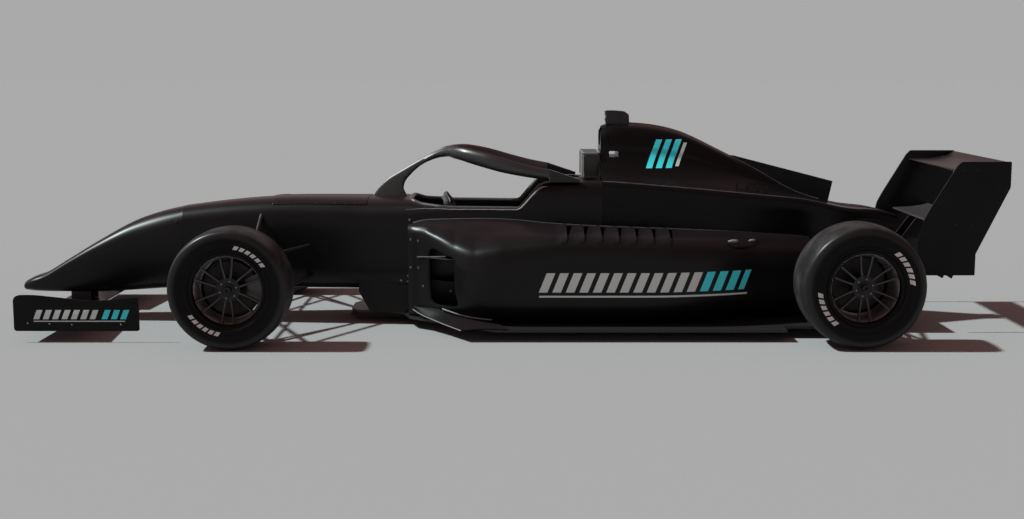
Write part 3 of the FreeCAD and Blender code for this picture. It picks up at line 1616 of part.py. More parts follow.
def make_rear_suspension():
    """Rear uprights, wishbones, toe links and pushrods, all fixed."""
    x = size.rear_axle_x
    y = size.rear_upright_y
    axle = size.rear_tyre_radius
    half = size.rear_upright_thickness / 2
    bore = size.spindle_bore
    joint = size.ball_joint_radius
    ring = rod("RearUprightRing", Vector(x, y - half, axle), Vector(x, y + half, axle), size.rear_upright_radius)
    post = rod(
        "RearUprightPost",
        Vector(x, y, axle - size.rear_joint_drop + size.ball_joint_height / 2 + size.seat_gap),
        Vector(x, y, axle + size.rear_joint_rise - size.ball_joint_height / 2 - size.seat_gap),
        joint,
    )
    toe = rod(
        "RearToeLug",
        Vector(x, y, axle - size.toe_link_drop),
        Vector(x + size.toe_link_reach - joint, y, axle - size.toe_link_drop),
        size.arm_depth,
    )
    hole = rod("RearUprightBore", Vector(x, y - half * 2, axle), Vector(x, y + half * 2, axle), bore)
    pair("rear_uprights", cut("RearUpright", fuse("RearUpright", [ring, post, toe]), [hole]))

    wall = size.gearbox_half_width + size.seat_gap
    upper = Vector(x, y, axle + size.rear_joint_rise)
    lower = Vector(x, y, axle - size.rear_joint_drop)
    pieces = []
    for name, outer, height in (
        ("RearUpper", upper, size.rear_upper_inner_height),
        ("RearLower", lower, size.rear_lower_inner_height),
    ):
        front = Vector(x - size.rear_arm_front_reach, wall - size.arm_chord, height)
        rear = Vector(x + size.rear_arm_rear_reach, wall - size.arm_chord, height)
        trim = box(
            name + "Trim",
            (x - size.cut_overrun * 4, -wall, 0),
            (size.cut_overrun * 8, 2 * wall, size.surround_height),
        )
        arm = cut(name, a_arm(name, outer, front, rear, name == "RearLower"), [trim])
        pieces += [arm, mirrored(arm)]
    group("rear_wishbones", pieces)

    link_z = axle - size.toe_link_drop
    link_x = x + size.toe_link_reach
    link = rod("ToeLink", Vector(link_x, wall, link_z), Vector(link_x, y, link_z), size.track_rod_radius)
    eye = rod(
        "ToeEye",
        Vector(link_x, y, link_z) - Vector(0, 0, size.rod_eye_height / 2),
        Vector(link_x, y, link_z) + Vector(0, 0, size.rod_eye_height / 2),
        size.rod_eye_radius,
    )
    pair("rear_toe_links", fuse("ToeLinkAll", [link, eye]))

    foot_z = lower.z + (size.rear_lower_inner_height - lower.z) * size.gusset_outer_inset / (y - wall)
    foot_z += size.gusset_thickness + size.seat_gap
    foot = Vector(x, y - size.gusset_inner_inset + size.ball_joint_radius, foot_z)
    top = Vector(x - size.rear_pushrod_lean, 0, size.rear_pushrod_top_height)
    shaft = rod("RearPushrodShaft", foot, top, size.pushrod_radius)
    boss = rod("RearPushrodBoss", foot, foot + Vector(0, 0, size.ball_joint_height), joint)
    below = box(
        "RearPushrodFootTrim",
        foot - Vector(size.cut_overrun, size.cut_overrun, size.cut_overrun),
        (2 * size.cut_overrun, 2 * size.cut_overrun, size.cut_overrun),
    )
    inside = box(
        "RearPushrodTopTrim",
        (x - size.cut_overrun * 4, -wall, 0),
        (size.cut_overrun * 8, 2 * wall, size.surround_height),
    )
    pair("rear_pushrods", cut("RearPushrod", fuse("RearPushrod", [shaft, boss]), [below, inside]))


def make_driveshafts():
    """Driveshafts that turn with the rear wheels, in the uprights' bores."""
    edge = size.rear_tyre_width / 2 - size.tyre_bead_inset + size.seat_gap + size.rim_flange_width
    hub_face = edge - size.spoke_inset - size.spoke_dish
    tip = size.rear_wheel_y + hub_face - size.hub_cap_thickness - size.seat_gap
    start = size.gearbox_half_width + size.moving_gap
    boot = size.driveshaft_boot_length
    inner_face = size.rear_upright_y - size.rear_upright_thickness / 2
    outline = [
        (0, start),
        (size.driveshaft_flange_radius, start),
        (size.driveshaft_flange_radius, start + size.driveshaft_flange_length),
        (size.driveshaft_radius, start + boot),
        (size.driveshaft_radius, inner_face - boot),
        (size.driveshaft_flange_radius, inner_face - size.driveshaft_flange_length),
        (size.driveshaft_flange_radius, inner_face - size.moving_gap),
        (size.spindle_radius, inner_face - size.moving_gap),
        (size.spindle_radius, tip),
        (0, tip),
    ]
    for hand, side in (("left", -1), ("right", 1)):
        body = doc.addObject("PartDesign::Body", f"Driveshaft{hand.title()}")
        revolve(body, "XY_Plane", polygon(outline), "V_Axis")
        turn = Rotation(Vector(0, 0, 1), 0 if side > 0 else 180)
        body.Placement = Placement(Vector(size.rear_axle_x, 0, size.rear_tyre_radius), turn)
        keep(body, f"driveshaft_{hand}")


def wing_body(name, outline, length):
    """A wing element padded across the car."""
    body = doc.addObject("PartDesign::Body", name)
    pad(body, "XZ_Plane", outline, length, symmetric=True)
    return body


def make_rear_wing():
    """Rear wing: main plane, flap, beam wing, endplates and two pylons."""
    tail = size.tail_x
    main = wing_section(
        size.rear_main_chord, tail - size.rear_main_lead_back, size.rear_main_lead_height,
        size.rear_main_angle, WING_THICKNESS_SHARE, WING_CAMBER_SHARE,
    )
    inner = "2 * (Sizes.rear_wing_half_span - Sizes.rear_endplate_thickness / 2)"
    keep(wing_body("RearMain", main, inner), "rear_wing_main")
    flap = wing_section(
        size.rear_flap_chord, tail - size.rear_flap_lead_back, size.rear_flap_lead_height,
        size.rear_flap_angle, FLAP_THICKNESS_SHARE, FLAP_CAMBER_SHARE,
    )
    keep(wing_body("RearFlap", flap, inner), "rear_wing_flap")
    beam_x = tail - size.beam_lead_back
    beam = wing_section(
        size.beam_chord, beam_x, size.beam_lead_height,
        size.beam_angle, WING_THICKNESS_SHARE, WING_CAMBER_SHARE,
    )
    beam_body = wing_body("BeamWing", beam, inner)
    keep(beam_body, "beam_wing")

    start = tail - size.rear_endplate_length
    tall = size.rear_endplate_top - size.rear_endplate_bottom
    points = [
        (start + a * size.rear_endplate_length, size.rear_endplate_bottom + b * tall)
        for a, b in REAR_ENDPLATE_SHARES
    ]
    corner = size.rear_endplate_corner
    radii = [corner, corner, 0, 0, corner, corner, corner, corner, 0, 0]
    face = Part.Face(upright_wire(corner_outline(points, radii)))
    plate = face.extrude(Vector(0, -size.rear_endplate_thickness, 0))
    plate.translate(Vector(0, size.rear_wing_half_span + size.rear_endplate_thickness / 2, 0))
    pair("rear_wing_endplates", feature("RearEndplate", plate))

    span = size.crash_box_length
    rise = size.beam_lead_height - size.gearbox_top
    points = [
        (size.crash_box_x + a * span, size.gearbox_top + b * rise)
        for a, b in REAR_PYLON_SHARES
    ]
    face = Part.Face(upright_wire(polygon(points), size.rear_pylon_y))
    pylon = feature("RearPylon", face.extrude(Vector(0, size.rear_pylon_thickness, 0)))
    doc.recompute()
    lowered = beam_body.Shape.copy()
    lowered.translate(Vector(0, 0, -size.seat_gap))
    pair("rear_wing_pylons", cut("RearPylon", pylon, [feature("PylonTrim", lowered)]))


def make_front_wing():
    """Front wing: main plane, a flap on each side, endplates and pylons."""
    tip = size.nose_tip_x
    thick = size.front_endplate_thickness
    inner = "2 * (Sizes.front_wing_half_span - Sizes.front_endplate_thickness / 2)"
    main = wing_section(
        size.front_main_chord, tip + size.front_main_lead_back, size.front_main_lead_height,
        size.front_main_angle, WING_THICKNESS_SHARE, WING_CAMBER_SHARE,
    )
    main_body = wing_body("FrontMain", main, inner)
    keep(main_body, "front_wing_main")

    far = size.front_wing_half_span - thick / 2
    lead_x = tip + size.front_main_lead_back + size.front_main_chord - size.front_flap_slot_overlap
    lead_z = size.front_main_lead_height + size.front_flap_slot_rise
    outer = wing_section(
        size.front_flap_chord, lead_x, lead_z, size.front_flap_angle,
        FLAP_THICKNESS_SHARE, FLAP_CAMBER_SHARE,
    )
    root = wing_section(
        size.front_flap_chord * FLAP_ROOT_CHORD_SHARE, lead_x, lead_z, size.front_flap_angle / 2,
        FLAP_THICKNESS_SHARE, FLAP_CAMBER_SHARE,
    )
    wires = [upright_wire(root, size.front_flap_inner_y), upright_wire(outer, far)]
    pair("front_wing_flaps", feature("FrontFlap", loft(wires, ruled=True)))

    start = tip + size.front_endplate_back
    long = size.front_endplate_length
    tall = size.front_endplate_top - size.front_endplate_bottom
    crest = [
        Vector(start + a * long, size.front_endplate_bottom + b * tall, 0)
        for a, b in FRONT_ENDPLATE_TOP_SHARES
    ]
    edge = Part.BSplineCurve()
    edge.interpolate(crest)
    low_front = Vector(start, size.front_endplate_bottom, 0)
    low_rear = Vector(start + long, size.front_endplate_bottom, 0)
    outline = [
        edge,
        Part.LineSegment(crest[-1], low_rear),
        Part.LineSegment(low_rear, low_front),
        Part.LineSegment(low_front, crest[0]),
    ]
    face = Part.Face(upright_wire(outline, size.front_wing_half_span + thick / 2))
    plate = feature("FrontEndplate", face.extrude(Vector(0, -thick, 0)))
    pair("front_wing_endplates", plate)

    doc.recompute()
    start = tip + size.front_pylon_back
    points = [
        (start, size.front_main_lead_height),
        (start + size.front_pylon_length, size.front_main_lead_height),
        (start + size.front_pylon_length, size.front_main_lead_height + size.cut_overrun),
        (start, size.front_main_lead_height + size.cut_overrun),
    ]
    face = Part.Face(upright_wire(polygon(points), size.front_pylon_y))
    pylon = feature("FrontPylon", face.extrude(Vector(0, size.front_pylon_thickness, 0)))
    under_nose = nose_shell()
    under_nose.translate(Vector(0, 0, -size.seat_gap))
    over_wing = main_body.Shape.copy()
    over_wing.translate(Vector(0, 0, size.seat_gap))
    trimmed = cut("FrontPylon", pylon, [feature("PylonNoseTrim", under_nose), feature("PylonWingTrim", over_wing)])
    pair("front_wing_pylons", trimmed)


make_nose()
make_monocoque()
make_front_wing()
make_wheels()
for hand_name, hand_side in (("left", -1), ("right", 1)):
    make_knuckle(hand_name, hand_side)
make_front_suspension()
make_steering()
make_seat()
make_headrest()
make_halo()
make_halo_feet()
make_engine_cover()
make_fin()
make_camera()
make_sidepods()
make_floor()
make_diffuser()
make_powertrain()
make_rear_suspension()
make_driveshafts()
make_rear_wing()
doc.recompute()

faults = []
for item in doc.Objects:
    if "Invalid" in item.State or "Error" in item.State:
        faults.append(f"{item.Name}: {item.State}")
for piece in PIECES:
    if piece.Shape.isNull() or not piece.Shape.isValid() or not piece.Shape.Solids:
        faults.append(f"{piece.Label}: bad shape")
if faults:
    raise SystemExit("\n".join(faults))

os.makedirs("parts", exist_ok=True)
for piece in PIECES:
    piece.Shape.exportStep(f"parts/{piece.Label}.step")
    print(piece.Label, len(piece.Shape.Solids), round(piece.Shape.Volume))
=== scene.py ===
"""Open wheel racing car: its looks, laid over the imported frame."""
import math

import bmesh
import bpy
import numpy as np
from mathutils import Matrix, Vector


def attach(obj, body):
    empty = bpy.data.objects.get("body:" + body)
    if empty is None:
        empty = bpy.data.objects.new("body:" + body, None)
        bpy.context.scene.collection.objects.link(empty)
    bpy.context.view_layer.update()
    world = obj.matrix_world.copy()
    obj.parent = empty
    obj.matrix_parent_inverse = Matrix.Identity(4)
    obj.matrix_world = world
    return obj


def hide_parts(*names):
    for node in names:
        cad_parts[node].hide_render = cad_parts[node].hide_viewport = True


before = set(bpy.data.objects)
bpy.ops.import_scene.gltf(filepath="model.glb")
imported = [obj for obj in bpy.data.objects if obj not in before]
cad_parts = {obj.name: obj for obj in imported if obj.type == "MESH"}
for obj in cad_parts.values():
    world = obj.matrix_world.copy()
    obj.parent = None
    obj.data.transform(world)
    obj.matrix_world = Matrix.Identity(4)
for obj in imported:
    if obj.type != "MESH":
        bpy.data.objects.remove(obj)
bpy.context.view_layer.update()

# The studio: a pale seamless floor, a clear sun from the nose side and a dim
# warm sky. The camera stands beside the cockpit, on the car's left side.
BACKDROP_TONE = 0.402
FLOOR_TONE = 0.345
FLOOR_REACH = 90
SUN_HEIGHT = math.radians(48)
SUN_POWER = 4.33
SUN_TINT = (0.9, 1.0, 1.0)
SUN_SPREAD = math.radians(2.5)
SKY_LOW = (0.46, 0.44, 0.44, 1)
SKY_HIGH = (0.24, 0.13, 0.13, 1)
SKY_FADE = 0.42
LENS = 50
FILM_WIDTH = 36
CAMERA_SPOT = (0.058, -7.28, 1.309)
CAMERA_PITCH = math.radians(82.09)
HANDS = (("left", -1), ("right", 1))
stage_scene = bpy.context.scene
stage_scene.view_settings.view_transform = "Standard"


class Plug:
    """A shader socket whose operators add Math nodes, from either side."""

    def __init__(self, finish, socket):
        self.finish = finish
        self.socket = socket

    def maths(self, operation, *values):
        return self.finish.add("ShaderNodeMath", {"operation": operation}, *values)

    def __add__(self, other):
        return self.maths("ADD", self, other)

    def __sub__(self, other):
        return self.maths("SUBTRACT", self, other)

    def __rsub__(self, other):
        return self.maths("SUBTRACT", other, self)

    def __mul__(self, other):
        return self.maths("MULTIPLY", self, other)

    def __truediv__(self, other):
        return self.maths("DIVIDE", self, other)

    __radd__ = __add__
    __rmul__ = __mul__

    def whole(self):
        return self.maths("FLOOR", self)

    def part(self):
        return self.maths("FRACT", self)

    def cycle(self, count):
        return self.maths("FLOORED_MODULO", self, count)

    def size(self):
        return self.maths("ABSOLUTE", self)

    def wave(self):
        return self.maths("SINE", self)

    def over(self, limit):
        return self.maths("GREATER_THAN", self, limit)

    def under(self, limit):
        return self.maths("LESS_THAN", self, limit)

    def between(self, low, high):
        return self.over(low) * self.under(high)

    def soft(self, low, high):
        """A smooth step from 0 at low to 1 at high."""
        return self.finish.add("ShaderNodeMapRange", {"interpolation_type": "SMOOTHSTEP"}, self, low, high)


class Finish:
    """A procedural material: a Principled shader and the nodes that feed it."""

    def __init__(self, name, **steady):
        self.material = bpy.data.materials.new(name)
        self.material.use_nodes = True
        self.tree = self.material.node_tree
        self.shader = self.tree.nodes["Principled BSDF"]
        for socket, value in steady.items():
            self.shader.inputs[socket.replace("_", " ")].default_value = value

    def add(self, kind, settings, *values, out=0, **named):
        """A node of a kind: settings first, then the values or links of its
        sockets, by place or by name."""
        node = self.tree.nodes.new(kind)
        for key, value in settings.items():
            setattr(node, key, value)
        pairs = list(zip(node.inputs, values))
        pairs += [(node.inputs[key.replace("_", " ")], value) for key, value in named.items()]
        for socket, value in pairs:
            if isinstance(value, Plug):
                self.tree.links.new(value.socket, socket)
            else:
                socket.default_value = value
        return Plug(self, node.outputs[out])

    def feed(self, **links):
        for key, plug in links.items():
            self.tree.links.new(plug.socket, self.shader.inputs[key.replace("_", " ")])
        return self

    def spot(self, centre=(0, 0, 0)):
        """Object coordinates, measured from a centre."""
        at = self.add("ShaderNodeTexCoord", {}, out="Object")
        return self.add("ShaderNodeVectorMath", {"operation": "SUBTRACT"}, at, centre)

    def sheet(self):
        """The piece's own UV map."""
        return self.add("ShaderNodeTexCoord", {}, out="UV")

    def axes(self, vector):
        split = self.add("ShaderNodeSeparateXYZ", {}, vector)
        node = split.socket.node
        return [Plug(self, node.outputs[index]) for index in range(3)]

    def facing(self):
        """The surface normal's three parts."""
        return self.axes(self.add("ShaderNodeNewGeometry", {}, out="Normal"))

    def noise(self, at, scale, detail=2.0):
        return self.add("ShaderNodeTexNoise", {}, Vector=at, Scale=scale, Detail=detail)

    def stretched(self, at, shares):
        """Coordinates multiplied axis by axis."""
        return self.add("ShaderNodeVectorMath", {"operation": "MULTIPLY"}, at, shares)

    def mix(self, share, first, second):
        """A colour between two colours."""
        node = self.tree.nodes.new("ShaderNodeMix")
        node.data_type = "RGBA"
        for index, value in ((0, share), (6, first), (7, second)):
            if isinstance(value, Plug):
                self.tree.links.new(value.socket, node.inputs[index])
            else:
                node.inputs[index].default_value = value
        return Plug(self, node.outputs[2])

    def relief(self, height, depth, strength=1.0):
        return self.add("ShaderNodeBump", {}, Strength=strength, Distance=depth, Height=height)


def tone(level):
    """A plain grey."""
    return (level, level, level, 1.0)


def mottled(name, scale, detail, dark, light, rough, spread, coat=0.0, grain=None, **steady):
    """A finish whose colour and roughness follow one cloud, and its coat too
    where given; a grain is a scale and a depth of relief."""
    finish = Finish(name, **steady)
    at = finish.spot()
    cloud = finish.noise(at, scale, detail)
    finish.feed(Base_Color=finish.mix(cloud, dark, light), Roughness=rough + cloud * spread)
    if coat:
        finish.feed(Coat_Weight=cloud * coat)
    if grain:
        finish.feed(Normal=finish.relief(finish.noise(at, grain[0], 1.0), grain[1]))
    return finish


def placed(thing):
    """Puts an object into the scene."""
    stage_scene.collection.objects.link(thing)
    return thing


camera = placed(bpy.data.objects.new("studio_camera", bpy.data.cameras.new("studio_camera")))
camera.data.lens = LENS
camera.data.sensor_width = FILM_WIDTH
camera.location = CAMERA_SPOT
camera.rotation_euler = (CAMERA_PITCH, 0, 0)
stage_scene.camera = camera

sun = placed(bpy.data.objects.new("studio_sun", bpy.data.lights.new("studio_sun", "SUN")))
sun.data.energy = SUN_POWER
sun.data.color = SUN_TINT
sun.data.angle = SUN_SPREAD
sun.rotation_euler = (0, SUN_HEIGHT - math.pi / 2, 0)

sky = bpy.data.worlds.new("studio_sky")
stage_scene.world = sky
sky.use_nodes = True
sky_nodes, sky_links = sky.node_tree.nodes, sky.node_tree.links
sky_light = sky_nodes["Background"]
sky_at = sky_nodes.new("ShaderNodeSeparateXYZ")
sky_links.new(sky_nodes.new("ShaderNodeTexCoord").outputs["Generated"], sky_at.inputs[0])
sky_band = sky_nodes.new("ShaderNodeMapRange")
sky_band.inputs["From Max"].default_value = SKY_FADE
sky_links.new(sky_at.outputs["Z"], sky_band.inputs[0])
sky_tones = sky_nodes.new("ShaderNodeMix")
sky_tones.data_type = "RGBA"
sky_tones.inputs[6].default_value = SKY_LOW
sky_tones.inputs[7].default_value = SKY_HIGH
sky_links.new(sky_band.outputs[0], sky_tones.inputs[0])
sky_links.new(sky_tones.outputs[2], sky_light.inputs["Color"])
sky_back = sky_nodes.new("ShaderNodeBackground")
sky_back.inputs["Color"].default_value = tone(BACKDROP_TONE)
sky_rays = sky_nodes.new("ShaderNodeLightPath")
sky_mix = sky_nodes.new("ShaderNodeMixShader")
sky_links.new(sky_rays.outputs["Is Camera Ray"], sky_mix.inputs[0])
sky_links.new(sky_light.outputs[0], sky_mix.inputs[1])
sky_links.new(sky_back.outputs[0], sky_mix.inputs[2])
sky_links.new(sky_mix.outputs[0], sky_nodes["World Output"].inputs["Surface"])

floor_mesh = bpy.data.meshes.new("studio_floor")
floor_corners = [(a * FLOOR_REACH, b * FLOOR_REACH, 0) for a, b in ((-1, -1), (1, -1), (1, 1), (-1, 1))]
floor_mesh.from_pydata(floor_corners, [], [(0, 1, 2, 3)])
studio_floor = placed(bpy.data.objects.new("studio_floor", floor_mesh))
stage_finish = Finish("studio_floor", Base_Color=tone(FLOOR_TONE), Roughness=1.0, Specular_IOR_Level=0.0)
floor_mesh.materials.append(stage_finish.material)

# The monocoque: a black lacquered carbon tub, moulded in two halves, round
# the cockpit. Its edge is a rolled lip, and a hatch on the nose side closes
# the room over the pedals.
TUB_FRONT = -1.607
TUB_LENGTH = 2.111
TUB_HALF = 0.29
TUB_UNDER = 0.165
TUB_CREST = 0.629
TUB_ROWS = 150
TUB_TURNS = 120
TUB_STATIONS = [
    (0.0, 0.545, 0.894, 3.6),
    (0.074, 0.578, 0.937, 3.7),
    (0.146, 0.62, 0.97, 3.8),
    (0.266, 0.7, 1.0, 3.9),
    (0.345, 0.757, 1.0, 4.0),
    (0.455, 0.845, 0.998, 4.0),
    (0.572, 0.94, 1.02, 4.2),
    (0.714, 0.997, 1.13, 4.6),
    (0.856, 1.0, 1.25, 5.0),
    (1.0, 0.985, 1.28, 5.0),
]
# Height of the tub's trimmed top edge along the car
EDGE_LINE = [
    (-1.607, 0.8), (-0.75, 0.72), (-0.6, 0.655), (-0.45, 0.623), (-0.399, 0.603),
    (-0.249, 0.589), (0.098, 0.585), (0.212, 0.72), (0.6, 0.72),
]
EDGE_ROUND = 0.006
KEEL_LINE = [(-0.711, 0.3), (-0.711, 0.165), (-0.654, 0.0605), (0.503, 0.0605), (0.503, 0.3)]
KEEL_CORNERS = [0, 0.02, 0.02, 0, 0]
KEEL_HALF = 0.222
LEG_ROOM = [(-1.19, 0.215), (-0.39, 0.215), (-0.39, 0.5), (-1.19, 0.5)]
LEG_ROOM_HALF = 0.138
RACK_X, RACK_Z, RACK_BORE = -1.326, 0.2853, 0.013
LIP_RADIUS = 0.011
# The edging's two ends along the car, and its radius from place to place
EDGING_ENDS = (-0.47, 0.235)
EDGING_SWELL = (
    [-0.47, -0.3, 0.07, 0.1, 0.2, 0.235],
    [0.0006, 0.0022, 0.0026, 0.0044, 0.0044, 0.0008],
)
BLACK = (0.0034, 0.0034, 0.0036, 1)
# A painted warm reflection of the sky, laid on the upward faces of the lacquer
SKY_SHEEN = (0.0165, 0.0115, 0.013, 1)
PALE = (0.62, 0.68, 0.66, 1)
TEAL = (0.07, 0.78, 0.86, 1)


def flow(table, along):
    """Values between stations: a cubic Hermite curve whose slope at each
    station is that of its two neighbours."""
    table = np.asarray(table, float)
    at, values = table[:, 0], table[:, 1:]
    slope = np.gradient(values, at, axis=0)
    along = np.asarray(along, float)
    low = np.clip(np.searchsorted(at, along, side="right") - 1, 0, len(at) - 2)
    step = (at[low + 1] - at[low])[:, None]
    share = (along - at[low])[:, None] / step
    return (
        (1 + 2 * share) * (1 - share) ** 2 * values[low]
        + share * (1 - share) ** 2 * step * slope[low]
        + share**2 * (3 - 2 * share) * values[low + 1]
        + share**2 * (share - 1) * step * slope[low + 1]
    )


def chain(points, count):
    """A smooth curve through points, sampled evenly by chord length."""
    points = np.asarray(points, float)
    legs = np.linalg.norm(np.diff(points, axis=0), axis=1)
    at = np.concatenate([[0], np.cumsum(legs)])
    return flow(np.column_stack([at, points]), np.linspace(0, at[-1], count))


def powered(values, power):
    """Values raised to a power, with their signs kept."""
    return np.sign(values) * np.abs(values) ** power


def unit(rows):
    """Each row of vectors brought to a length of one."""
    return rows / np.linalg.norm(rows, axis=1)[:, None]


def ovals(x, half_width, top, bottom, power, turns):
    """Superellipse sections across the car: width and height times the
    signed 2/power-th power of the sine and cosine of the turn."""
    turn = np.linspace(0, math.tau, turns, endpoint=False)[None, :]
    x, half_width, top, bottom, power = np.broadcast_arrays(
        *[np.asarray(value, float).reshape(-1, 1) for value in (x, half_width, top, bottom, power)]
    )
    across = half_width * powered(np.sin(turn), 2 / power)
    level = (top + bottom) / 2 + (top - bottom) / 2 * powered(np.cos(turn), 2 / power)
    return np.stack([np.broadcast_to(x, level.shape), across, level], -1)


def skin(grid, wrap=True, caps=True):
    """Quads between neighbouring rows and columns of a grid, round each row
    if it wraps, and a face on each end. Returns points, faces and their UVs."""
    rows, cols = grid.shape[:2]
    index = np.arange(rows * cols).reshape(rows, cols)
    far = np.roll(index, -1, 1)
    span = cols if wrap else cols - 1
    quads = np.stack([index[:-1], far[:-1], far[1:], index[1:]], -1)[:, :span]
    left, low = np.meshgrid(np.arange(span) / span, np.arange(rows - 1) / (rows - 1))
    right, high = left + 1 / span, low + 1 / (rows - 1)
    sheet = np.stack([left, low, right, low, right, high, left, high], -1)
    blocks = [(quads.reshape(-1, 4), sheet.reshape(-1, 2))]
    if wrap and caps:
        blocks += [(index[row][None, :], np.zeros((cols, 2))) for row in (0, -1)]
    return grid.reshape(-1, 3), blocks


DOUBLED = 2e-6


def form(name, *shells):
    """One mesh object from several skins, with doubled points merged and its
    faces pointing outwards."""
    start = 0
    points, faces, sheets = [], [], []
    for places, blocks in shells:
        points.append(places)
        for block, sheet in blocks:
            faces += (block + start).tolist()
            sheets.append(sheet)
        start += len(places)
    mesh = bpy.data.meshes.new(name)
    mesh.from_pydata(np.concatenate(points).tolist(), [], faces)
    layer = mesh.uv_layers.new(name="flat")
    layer.data.foreach_set("uv", np.concatenate(sheets).ravel())
    work = bmesh.new()
    work.from_mesh(mesh)
    bmesh.ops.remove_doubles(work, verts=work.verts, dist=DOUBLED)
    bmesh.ops.dissolve_degenerate(work, edges=work.edges, dist=DOUBLED)
    bmesh.ops.recalc_face_normals(work, faces=work.faces)
    work.to_mesh(mesh)
    work.free()
    return placed(bpy.data.objects.new(name, mesh))


def settle(thing):
    """Turns a thing's modifiers into its mesh."""
    bpy.context.view_layer.update()
    graph = bpy.context.evaluated_depsgraph_get()
    mesh = bpy.data.meshes.new_from_object(thing.evaluated_get(graph))
    thing.modifiers.clear()
    thing.data = mesh
    return thing


def carve(thing, operation, *tools):
    """Cuts, joins or keeps what is common with each tool, which is used up."""
    for tool in tools:
        step = thing.modifiers.new("carve", "BOOLEAN")
        step.operation = operation
        step.solver = "MANIFOLD"
        step.object = tool
    settle(thing)
    for tool in tools:
        bpy.data.objects.remove(tool)
    return thing


def soften(thing, width, segments=2, limit=35):
    """Rounds every edge sharper than the limit."""
    step = thing.modifiers.new("soften", "BEVEL")
    step.width = width
    step.segments = segments
    step.limit_method = "ANGLE"
    step.angle_limit = math.radians(limit)
    step.use_clamp_overlap = True
    return settle(thing)


def dress(thing, body, finish, *replaced, slot=None, sharp=38):
    """Smooth shading with sharp edges, a material, a body and the nodes that
    the piece stands for."""
    mesh = thing.data
    mesh.polygons.foreach_set("use_smooth", np.ones(len(mesh.polygons), bool))
    mesh.set_sharp_from_angle(angle=math.radians(sharp))
    mesh.materials.clear()
    mesh.materials.append(finish.material)
    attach(thing, body)
    if replaced:
        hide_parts(*replaced)
    return thing


def show(name, shells, body, finish, *replaced, slot, sharp=38, bevel=None):
    """A whole piece: its form, its edges rounded where a bevel's width and
    segments are given, and its dress."""
    thing = form(name, *shells)
    if bevel:
        soften(thing, *bevel)
    return dress(thing, body, finish, *replaced, slot=slot, sharp=sharp)


def rounded(points, radii, steps=6):
    """A closed outline whose corners are arcs tangent to both sides."""
    points = [np.array(point, float) for point in points]
    count = len(points)
    outline = []
    for index, (corner, radius) in enumerate(zip(points, radii)):
        if radius <= 0:
            outline.append(corner[None, :])
            continue
        back = points[index - 1] - corner
        ahead = points[(index + 1) % count] - corner
        back, ahead = back / np.linalg.norm(back), ahead / np.linalg.norm(ahead)
        half = math.acos(np.clip(back @ ahead, -1, 1)) / 2
        middle = (back + ahead) / np.linalg.norm(back + ahead)
        centre = corner + middle * radius / math.sin(half)
        first = corner + back * radius / math.tan(half) - centre
        last = corner + ahead * radius / math.tan(half) - centre
        start = math.atan2(first[1], first[0])
        sweep = (math.atan2(last[1], last[0]) - start + math.pi) % math.tau - math.pi
        angle = start + sweep * np.linspace(0, 1, steps)
        outline.append(centre + radius * np.stack([np.cos(angle), np.sin(angle)], -1))
    return np.concatenate(outline)


def prism(outline, low, high, along="Y"):
    """An outline carried straight along one axis, closed at both ends."""
    flat = np.asarray(outline, float)
    grid = np.empty((2, len(flat), 3))
    order = {"X": (1, 2, 0), "Y": (0, 2, 1), "Z": (0, 1, 2)}[along]
    grid[:, :, order[0]] = flat[:, 0]
    grid[:, :, order[1]] = flat[:, 1]
    grid[:, :, order[2]] = np.array([low, high])[:, None]
    return skin(grid)


def tube(path, radius, sides=16, squeeze=1.0, closed=False):
    """A round bar along a path: at each point a circle square to the path,
    its upright radius times the squeeze there."""
    path = np.asarray(path, float)
    run = np.gradient(path, axis=0)
    if closed:
        run = np.roll(path, -1, 0) - np.roll(path, 1, 0)
    run = unit(run)
    side = np.cross(run, (0, 0, 1.0))
    side[np.linalg.norm(side, axis=1) < 1e-6] = (1.0, 0, 0)
    side = unit(side)
    rise = np.cross(side, run)
    turn = np.linspace(0, math.tau, sides, endpoint=False)[None, :, None]
    radius = np.asarray(radius, float).reshape(-1, 1, 1)
    squeeze = np.asarray(squeeze, float).reshape(-1, 1, 1)
    grid = path[:, None] + radius * (
        np.cos(turn) * side[:, None] + np.sin(turn) * rise[:, None] * squeeze
    )
    if closed:
        grid = np.concatenate([grid, grid[:1]])
    return skin(grid, caps=not closed)


def edge_height(x):
    """Height of the trimmed top edge, eased at its corners."""
    line = np.array(EDGE_LINE)
    spread = np.linspace(-0.014, 0.014, 9)
    return np.interp(np.add.outer(x, spread), line[:, 0], line[:, 1]).mean(-1)


def tub_grid(rows=TUB_ROWS, grow=0.0):
    """The tub's outer surface: superellipse sections, their tops pressed
    down to the edge line by a soft minimum."""
    along = np.linspace(0, 1, rows)
    width, top, power = flow(TUB_STATIONS, along).T
    x = TUB_FRONT + along * TUB_LENGTH
    crest = TUB_UNDER + top * (TUB_CREST - TUB_UNDER)
    grid = ovals(x, width * TUB_HALF + grow, crest + grow, TUB_UNDER - grow, power, TUB_TURNS)
    past = (grid[:, :, 2] - edge_height(x)[:, None]) / EDGE_ROUND
    grid[:, :, 2] -= EDGE_ROUND * np.log1p(np.exp(np.clip(past, -40, 40)))
    grid[:, :, 2] -= EDGE_ROUND * np.clip(past - 40, 0, None)
    return grid


def opening_outline(grow=0.0):
    """The cockpit opening seen from above."""
    corners = [
        (-0.45 - grow, -0.15 - grow), (-0.3, -0.222 - grow), (0.215, -0.222 - grow),
        (0.405 + grow, -0.19 - grow), (0.405 + grow, 0.19 + grow), (0.215, 0.222 + grow),
        (-0.3, 0.222 + grow), (-0.45 - grow, 0.15 + grow),
    ]
    return rounded(corners, [0.06] * 8, 9)


